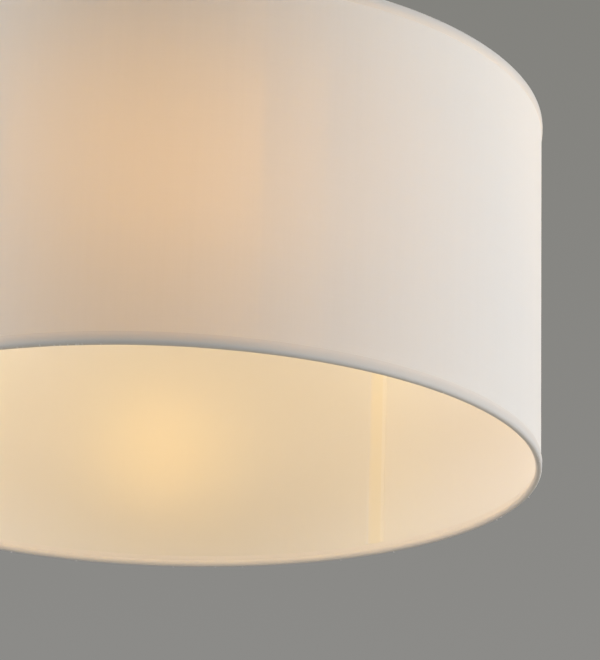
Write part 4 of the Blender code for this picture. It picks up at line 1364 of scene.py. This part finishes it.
@dataclass
class ClampRing(Assembly):
    """Gripped ring under the fitter plate."""

    bore: float = 0.0200
    body: float = 0.0251
    crest: float = 0.0260
    low: float = -0.0624
    high: float = -0.0564
    grips: int = 18
    grip_half_width: float = 0.0022
    rounding: float = 0.0004
    bore_rounding: float = 0.0002
    chamfer: float = 0.0005
    pitch: float = 0.0025
    thread_depth: float = 0.0006
    thread_spacing: float = 0.00025
    segments: int = 108

    def build(self) -> None:
        """Build and dress the ring, with its thread and grips."""
        low, high, mouth = self.low + self.chamfer, self.high - self.chamfer, self.bore + self.chamfer
        outline = softened([
            (mouth, self.low, self.bore_rounding), (self.body, self.low, self.rounding),
            (self.body, self.high, self.rounding), (mouth, self.high, self.bore_rounding),
        ])
        outline += ruled((self.bore, high), (self.bore, low), self.thread_spacing)
        cut = {"Wall": self.bore, "Reach": 0.0001, "Low": low, "High": high, "Pitch": self.pitch,
               "Depth": -self.thread_depth, "Flank": 1.5, "Run Out": 0.0005}
        ribs = {"Count": self.grips, "Radius": self.body, "Low": self.low + self.rounding,
                "High": self.high - self.rounding, "Height": self.crest - self.body,
                "Half Width": self.grip_half_width}
        self.shop.place("clamp_ring", revolved("clamp_ring", outline, self.segments), Slot.MOULDING,
                        Body.RING, "shade_ring", (Shape.THREAD, cut), (Shape.RIBS, ribs))


@dataclass
class Holder(Assembly):
    """Lamp holder: gland, cap, threaded skirt, contacts and thread shell."""

    cap_top: float = -0.0093
    cap_edge: float = -0.0313
    cap_side: float = 0.004
    cap_radius: float = 0.0205
    cap_flat: float = 0.0095
    cap_wall: float = 0.002
    groove_depth: float = 0.0004
    groove_levels: tuple[float, ...] = (0.0022, 0.0018, 0.0014, 0.001)
    dome: float = 0.011
    dome_steps: int = 18
    neck: float = 0.0175
    neck_bore: float = 0.0155
    neck_end: float = -0.0373
    gland_hole: float = 0.0053
    skirt_top: float = -0.0316
    skirt_end: float = -0.0766
    skirt_foot: float = 0.0007
    skirt_bore: float = 0.0178
    flange: float = 0.025
    flange_levels: Point = (-0.0543, -0.0513)
    flange_root: float = 0.0012
    flange_edges: Point = (0.0008, 0.0005)
    thread: float = 0.0197
    thread_pitch: float = 0.0025
    thread_depth: float = 0.0007
    thread_spacing: float = 0.00022
    thread_ends: Point = (0.0006, 0.0012)
    well: float = 0.0167
    well_top: float = -0.0403
    lip: float = 0.0152
    lip_top: float = -0.0746
    shell: Point = (0.0135, 0.0139)
    shell_span: Point = (-0.0743, -0.0403)
    shell_spacing: float = 0.0003
    shell_thread_depth: float = 0.00034
    shell_thread_ends: Point = (0.001, 0.004)
    shell_segments: int = 96
    rounding: float = 0.0004
    fine_rounding: float = 0.0003
    groove_rounding: float = 0.0002
    segments: int = 144

    def dome_arc(self, edge: float, top: float) -> list[Point]:
        """Quarter ellipse from the cap's flat top to its straight side.

        Args:
            edge: radius of the side.
            top: level of the flat top.

        Returns:
            (radius, height) points.
        """
        flat, points = self.cap_flat, []
        for share in shares(self.dome_steps):
            turn = math.pi / 2 * share
            points.append((flat + (edge - flat) * math.sin(turn), top - self.dome * (1 - math.cos(turn))))
        return points

    def build_cap(self) -> None:
        """Build the domed cap."""
        wall, side, edge, coarse, fine = (
            self.cap_wall, self.cap_radius, self.cap_edge, self.rounding, self.fine_rounding
        )
        levels = [edge + level for level in self.groove_levels]
        floor = side - self.groove_depth
        outline = [(self.gland_hole, self.cap_top)] + self.dome_arc(side, self.cap_top)
        outline += softened([
            (side, edge + self.cap_side), (side, levels[0], fine), (floor, levels[1], self.groove_rounding),
            (floor, levels[2], self.groove_rounding), (side, levels[3], fine), (side, edge, fine),
            (self.neck, edge),
        ], closed=False)
        outline += softened([
            (self.neck, edge), (self.neck, self.neck_end, coarse), (self.neck_bore, self.neck_end, coarse),
            (self.neck_bore, edge + wall, fine), (side - wall, edge + wall),
        ], closed=False)[1:]
        outline += self.dome_arc(side - wall, self.cap_top - wall)[::-1]
        outline.append((self.gland_hole, self.cap_top - wall))
        mesh = revolved("dome_cap", outline, self.segments)
        self.shop.place("dome_cap", mesh, Slot.MOULDING, Body.HOLDER, "holder_cap")

    def build_skirt(self) -> None:
        """Build the skirt with its outer thread and its flange."""
        coarse, fine, (low, high) = self.rounding, self.fine_rounding, self.flange_levels
        foot = self.skirt_end + self.skirt_foot
        outline = softened([
            (self.skirt_bore, self.skirt_top, fine), (self.cap_radius, self.skirt_top, coarse),
            (self.cap_radius, high, self.flange_root), (self.flange, high, self.flange_edges[0]),
            (self.flange, low, self.flange_edges[1]), (self.thread, low),
        ], closed=False)
        outline += ruled((self.thread, low), (self.thread, foot), self.thread_spacing)[1:]
        outline += softened([
            (self.thread, foot), (self.thread - self.skirt_foot, self.skirt_end, coarse),
            (self.lip, self.skirt_end, coarse), (self.lip, self.lip_top, fine),
            (self.well, self.lip_top, fine), (self.well, self.well_top, fine),
            (self.skirt_bore, self.well_top),
        ], closed=False)[1:]
        cut = {"Wall": self.thread, "Reach": 0.00005, "Low": self.skirt_end + self.thread_ends[0],
               "High": low - self.thread_ends[1], "Pitch": self.thread_pitch, "Depth": self.thread_depth,
               "Flank": 1.7, "Run Out": 0.0012}
        mesh = revolved("threaded_skirt", outline, self.segments)
        self.shop.place("threaded_skirt", mesh, Slot.MOULDING, Body.HOLDER, "holder_skirt",
                        (Shape.THREAD, cut))

    def build_shell(self) -> None:
        """Build the rolled thread shell."""
        (inner, outer), (low, high) = self.shell, self.shell_span
        outline = ruled((inner, high), (inner, low), self.shell_spacing)
        outline += ruled((outer, low), (outer, high), self.shell_spacing)
        cut = {"Wall": (inner + outer) / 2, "Reach": 0.001, "Low": low + self.shell_thread_ends[0],
               "High": high - self.shell_thread_ends[1], "Pitch": LAMP_THREAD_PITCH,
               "Depth": self.shell_thread_depth, "Flank": 1.0, "Run Out": 0.0015}
        mesh = revolved("rolled_shell", outline, self.shell_segments)
        self.shop.place("rolled_shell", mesh, Slot.BRASS, Body.HOLDER, "thread_shell", (Shape.THREAD, cut))

    def build(self) -> None:
        """Build and dress the holder."""
        self.build_cap()
        self.build_skirt()
        self.build_shell()
        self.shop.refinish(Slot.MOULDING, "cord_gland", "cord_clamp_screw")
        self.shop.refinish(Slot.STEEL, "gland_locknut")
        self.shop.refinish(Slot.CERAMIC, "contact_insert")
        self.shop.refinish(Slot.BRASS, "live_terminal", "neutral_terminal", "centre_contact")
        self.shop.refinish(Slot.NICKEL, "terminal_screw_live", "terminal_screw_neutral")


@dataclass
class Lamp(Assembly):
    """Screw-in lamp: opal globe, screw cap, stem, filaments and driver."""

    tip: float = -0.0478
    length: float = 0.106
    radius: float = 0.030
    glass: float = 0.0008
    neck: float = 0.01245
    neck_top: float = 0.017
    neck_end: float = 0.0258
    neck_spacing: float = 0.002
    shoulder_angle: float = math.radians(38)
    shoulder_pull: float = 0.011
    shoulder_steps: int = 18
    globe_steps: int = 28
    cap_outer: float = 0.0131
    cap_wall: float = 0.00035
    cap_mouth: float = 0.0109
    cap_rim: float = 0.0116
    cap_top: float = 0.00485
    cap_shoulder: float = 0.00685
    cap_length: float = 0.025
    cap_roundings: Point = (0.0004, 0.0008)
    thread_start: float = 0.001
    thread_end: float = 0.0172
    thread_depth: float = 0.0007
    thread_spacing: float = 0.0003
    segments: int = 96

    def glass_face(self, inset: float) -> list[Point]:
        """One face of the glass, from its neck to its pole.

        Args:
            inset: how far inside the outer face it lies.

        Returns:
            (radius, depth below the tip) points.
        """
        radius, centre, neck = self.radius - inset, self.length - self.radius, self.neck - inset
        points = ruled((neck, self.neck_top), (neck, self.neck_end), self.neck_spacing)[:-1]
        angle = self.shoulder_angle
        start, joint = Vector((neck, self.neck_end)), Vector(polar(radius, -angle, 0.0, centre))
        pulls = (start + Vector((0.0, self.shoulder_pull)),
                 joint - Vector((math.sin(angle), math.cos(angle))) * self.shoulder_pull)
        for share in shares(self.shoulder_steps)[:-1]:
            rest = 1 - share
            spot = start * rest**3 + pulls[0] * (3 * share * rest**2) + pulls[1] * (3 * share**2 * rest)
            spot += joint * share**3
            points.append((spot.x, spot.y))
        sweep = angle + math.pi / 2
        turns = [sweep * share - angle for share in shares(self.globe_steps)[:-1]]
        points += [polar(radius, turn, 0.0, centre) for turn in turns]
        return points + [(0.0, centre + radius)]

    def hung(self, outline: Iterable[Point]) -> list[Point]:
        """Turn (radius, depth) points into (radius, height) points."""
        return [(radius, self.tip - depth) for radius, depth in outline]

    def build_globe(self) -> None:
        """Build the opal globe, an open outline whose two faces meet at its ends."""
        outline = self.hung(self.glass_face(0.0)[::-1] + self.glass_face(self.glass))
        mesh = revolved("opal_globe", outline, self.segments, closed=False)
        self.shop.place("opal_globe", mesh, Slot.OPAL, Body.LAMP, "glass_envelope")

    def build_cap(self) -> None:
        """Build the screw cap."""
        wall, outer, shoulder, length = self.cap_wall, self.cap_outer, self.cap_shoulder, self.cap_length
        inner, start = outer - wall, (outer, shoulder + self.thread_start)
        outline = softened([
            (self.cap_mouth, self.cap_top), (self.cap_rim, self.cap_top, self.cap_roundings[0]),
            (outer, shoulder, self.cap_roundings[1]), start,
        ], closed=False)
        outline += ruled(start, (outer, length), self.thread_spacing)[1:]
        outline += ruled((inner, length), (inner, shoulder + wall / 2), self.thread_spacing)
        outline += [(self.cap_rim - wall / 2, self.cap_top + wall), (self.cap_mouth, self.cap_top + wall)]
        cut = {"Wall": (inner + outer) / 2, "Reach": 0.0003, "Low": self.tip - self.thread_end,
               "High": self.tip - shoulder, "Pitch": LAMP_THREAD_PITCH, "Depth": self.thread_depth,
               "Flank": 1.0, "Run Out": 0.0015}
        mesh = revolved("screw_cap", self.hung(outline), self.segments)
        self.shop.place("screw_cap", mesh, Slot.NICKEL, Body.LAMP, "lamp_cap", (Shape.THREAD, cut))

    def build(self) -> None:
        """Build and dress the lamp."""
        self.build_globe()
        self.build_cap()
        self.shop.refinish(Slot.STEM_GLASS, "glass_stem")
        self.shop.refinish(Slot.NICKEL, "filament_carrier_upper", "filament_carrier_lower", "lead_wire_live",
                           "lead_wire_neutral")
        self.shop.refinish(Slot.PHOSPHOR, "filament_1", "filament_2", "filament_3", "filament_4")
        self.shop.refinish(Slot.BOARD, "driver_board")
        self.shop.refinish(Slot.BLACK_GLASS, "cap_insulator")
        self.shop.refinish(Slot.SOLDER, "tip_contact")


@dataclass(frozen=True)
class Softbox:
    """Square soft light, placed by degrees round from the camera's side and above the shade."""

    name: str
    azimuth: float
    watts: float
    colour: Colour
    elevation: float = 5.0
    distance: float = 2.6
    side: float = 1.5
    target: Triple = (0.0, 0.0, -0.15)

    def build(self) -> None:
        """Stand the light and aim it at the shade."""
        light = bpy.data.lights.new(self.name, "AREA")
        light.shape = "SQUARE"
        light.size = self.side
        light.energy = self.watts
        light.color = self.colour
        holder = bpy.data.objects.new(self.name, light)
        bpy.context.scene.collection.objects.link(holder)
        turn, rise = math.radians(self.azimuth), math.radians(self.elevation)
        away = Vector((math.sin(turn) * math.cos(rise), -math.cos(turn) * math.cos(rise), math.sin(rise)))
        holder.location = Vector(self.target) + away * self.distance
        holder.rotation_euler = away.to_track_quat("Z", "Y").to_euler()
        holder.visible_camera = False


@dataclass
class Studio(Assembly):
    """Plain backdrop, soft lights, pale floor and the camera."""

    camera_spot: Triple = (0.0, -1.7963, -0.80449)
    camera_right: Triple = (0.99820482, -0.05371963, 0.02648271)
    camera_up: Triple = (-0.04276861, -0.3297944, 0.94308351)
    camera_forward: Triple = (0.04192824, 0.94252313, 0.33149987)
    lens: float = 172.35
    sensor: float = 36.0
    floor_level: float = -4.2
    floor_radius: float = 90.0
    floor_steps: int = 96
    sky_low: Colour = (0.264, 0.260, 0.249)
    sky_high: Colour = (0.228, 0.225, 0.208)
    sky_overhead: Colour = (0.47, 0.465, 0.455)
    sky_span: Point = (0.22, 0.43)
    overhead_span: Point = (0.55, 0.80)
    softboxes: tuple[Softbox, ...] = (
        Softbox("right_softbox", 74.0, 36.5, (0.98, 1.0, 1.03)),
        Softbox("left_softbox", -86.0, 40.0, (1.0, 1.0, 1.0)),
    )

    def build_sky(self) -> None:
        """Light the scene evenly, darker behind the lamp and brighter straight overhead."""
        world = bpy.data.worlds.new("studio_sky")
        world.use_nodes = True
        world.node_tree.nodes.clear()
        net = Net(world.node_tree)
        up = net.split(net.add("ShaderNodeTexCoord", output="Generated"))[2]
        colour = rgba(self.sky_low)
        for span, higher in ((self.sky_span, self.sky_high), (self.overhead_span, self.sky_overhead)):
            colour = net.blend(net.remap(up, span), colour, rgba(higher))
        sky = net.add("ShaderNodeBackground", {"Color": colour, "Strength": 1.0})
        net.node("ShaderNodeOutputWorld", {"Surface": sky})
        bpy.context.scene.world = world

    def build_floor(self) -> None:
        """Lay a wide round floor well below the lamp."""
        bm = bmesh.new()
        centre = bm.verts.new((0.0, 0.0, self.floor_level))
        spots = [(*polar(self.floor_radius, turn), self.floor_level) for turn in circle(self.floor_steps)]
        edge = [bm.verts.new(spot) for spot in spots]
        for step, corner in enumerate(edge):
            bm.faces.new((centre, corner, edge[(step + 1) % len(edge)]))
        mesh = bpy.data.meshes.new("studio_floor")
        bm.to_mesh(mesh)
        bm.free()
        mesh.materials.append(FLOOR_FINISH.material("pale_floor"))
        floor = bpy.data.objects.new("studio_floor", mesh)
        bpy.context.scene.collection.objects.link(floor)

    def build_camera(self) -> None:
        """Stand the camera where the photograph was taken from."""
        data = bpy.data.cameras.new("camera")
        data.lens = self.lens
        data.sensor_width = self.sensor
        camera = bpy.data.objects.new("camera", data)
        bpy.context.scene.collection.objects.link(camera)
        back = [-part for part in self.camera_forward]
        axes = Matrix((self.camera_right, self.camera_up, back)).transposed()
        camera.matrix_world = Matrix.Translation(self.camera_spot) @ axes.to_4x4()
        bpy.context.scene.camera = camera

    def build(self) -> None:
        """Build the whole studio."""
        self.build_sky()
        for softbox in self.softboxes:
            softbox.build()
        self.build_floor()
        self.build_camera()
        bpy.context.scene.view_settings.view_transform = "Standard"


def main() -> None:
    """Load the frame, then build each sub-assembly and the studio in order."""
    logging.basicConfig(level=logging.INFO, format="%(message)s")
    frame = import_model()
    shop = Workshop(frame["nodes"])
    for assembly in (Shade, Spider, ClampRing, Holder, Lamp, Studio):
        LOG.info("building %s", assembly.__name__)
        assembly(shop).build()


if __name__ == "__main__":
    main()
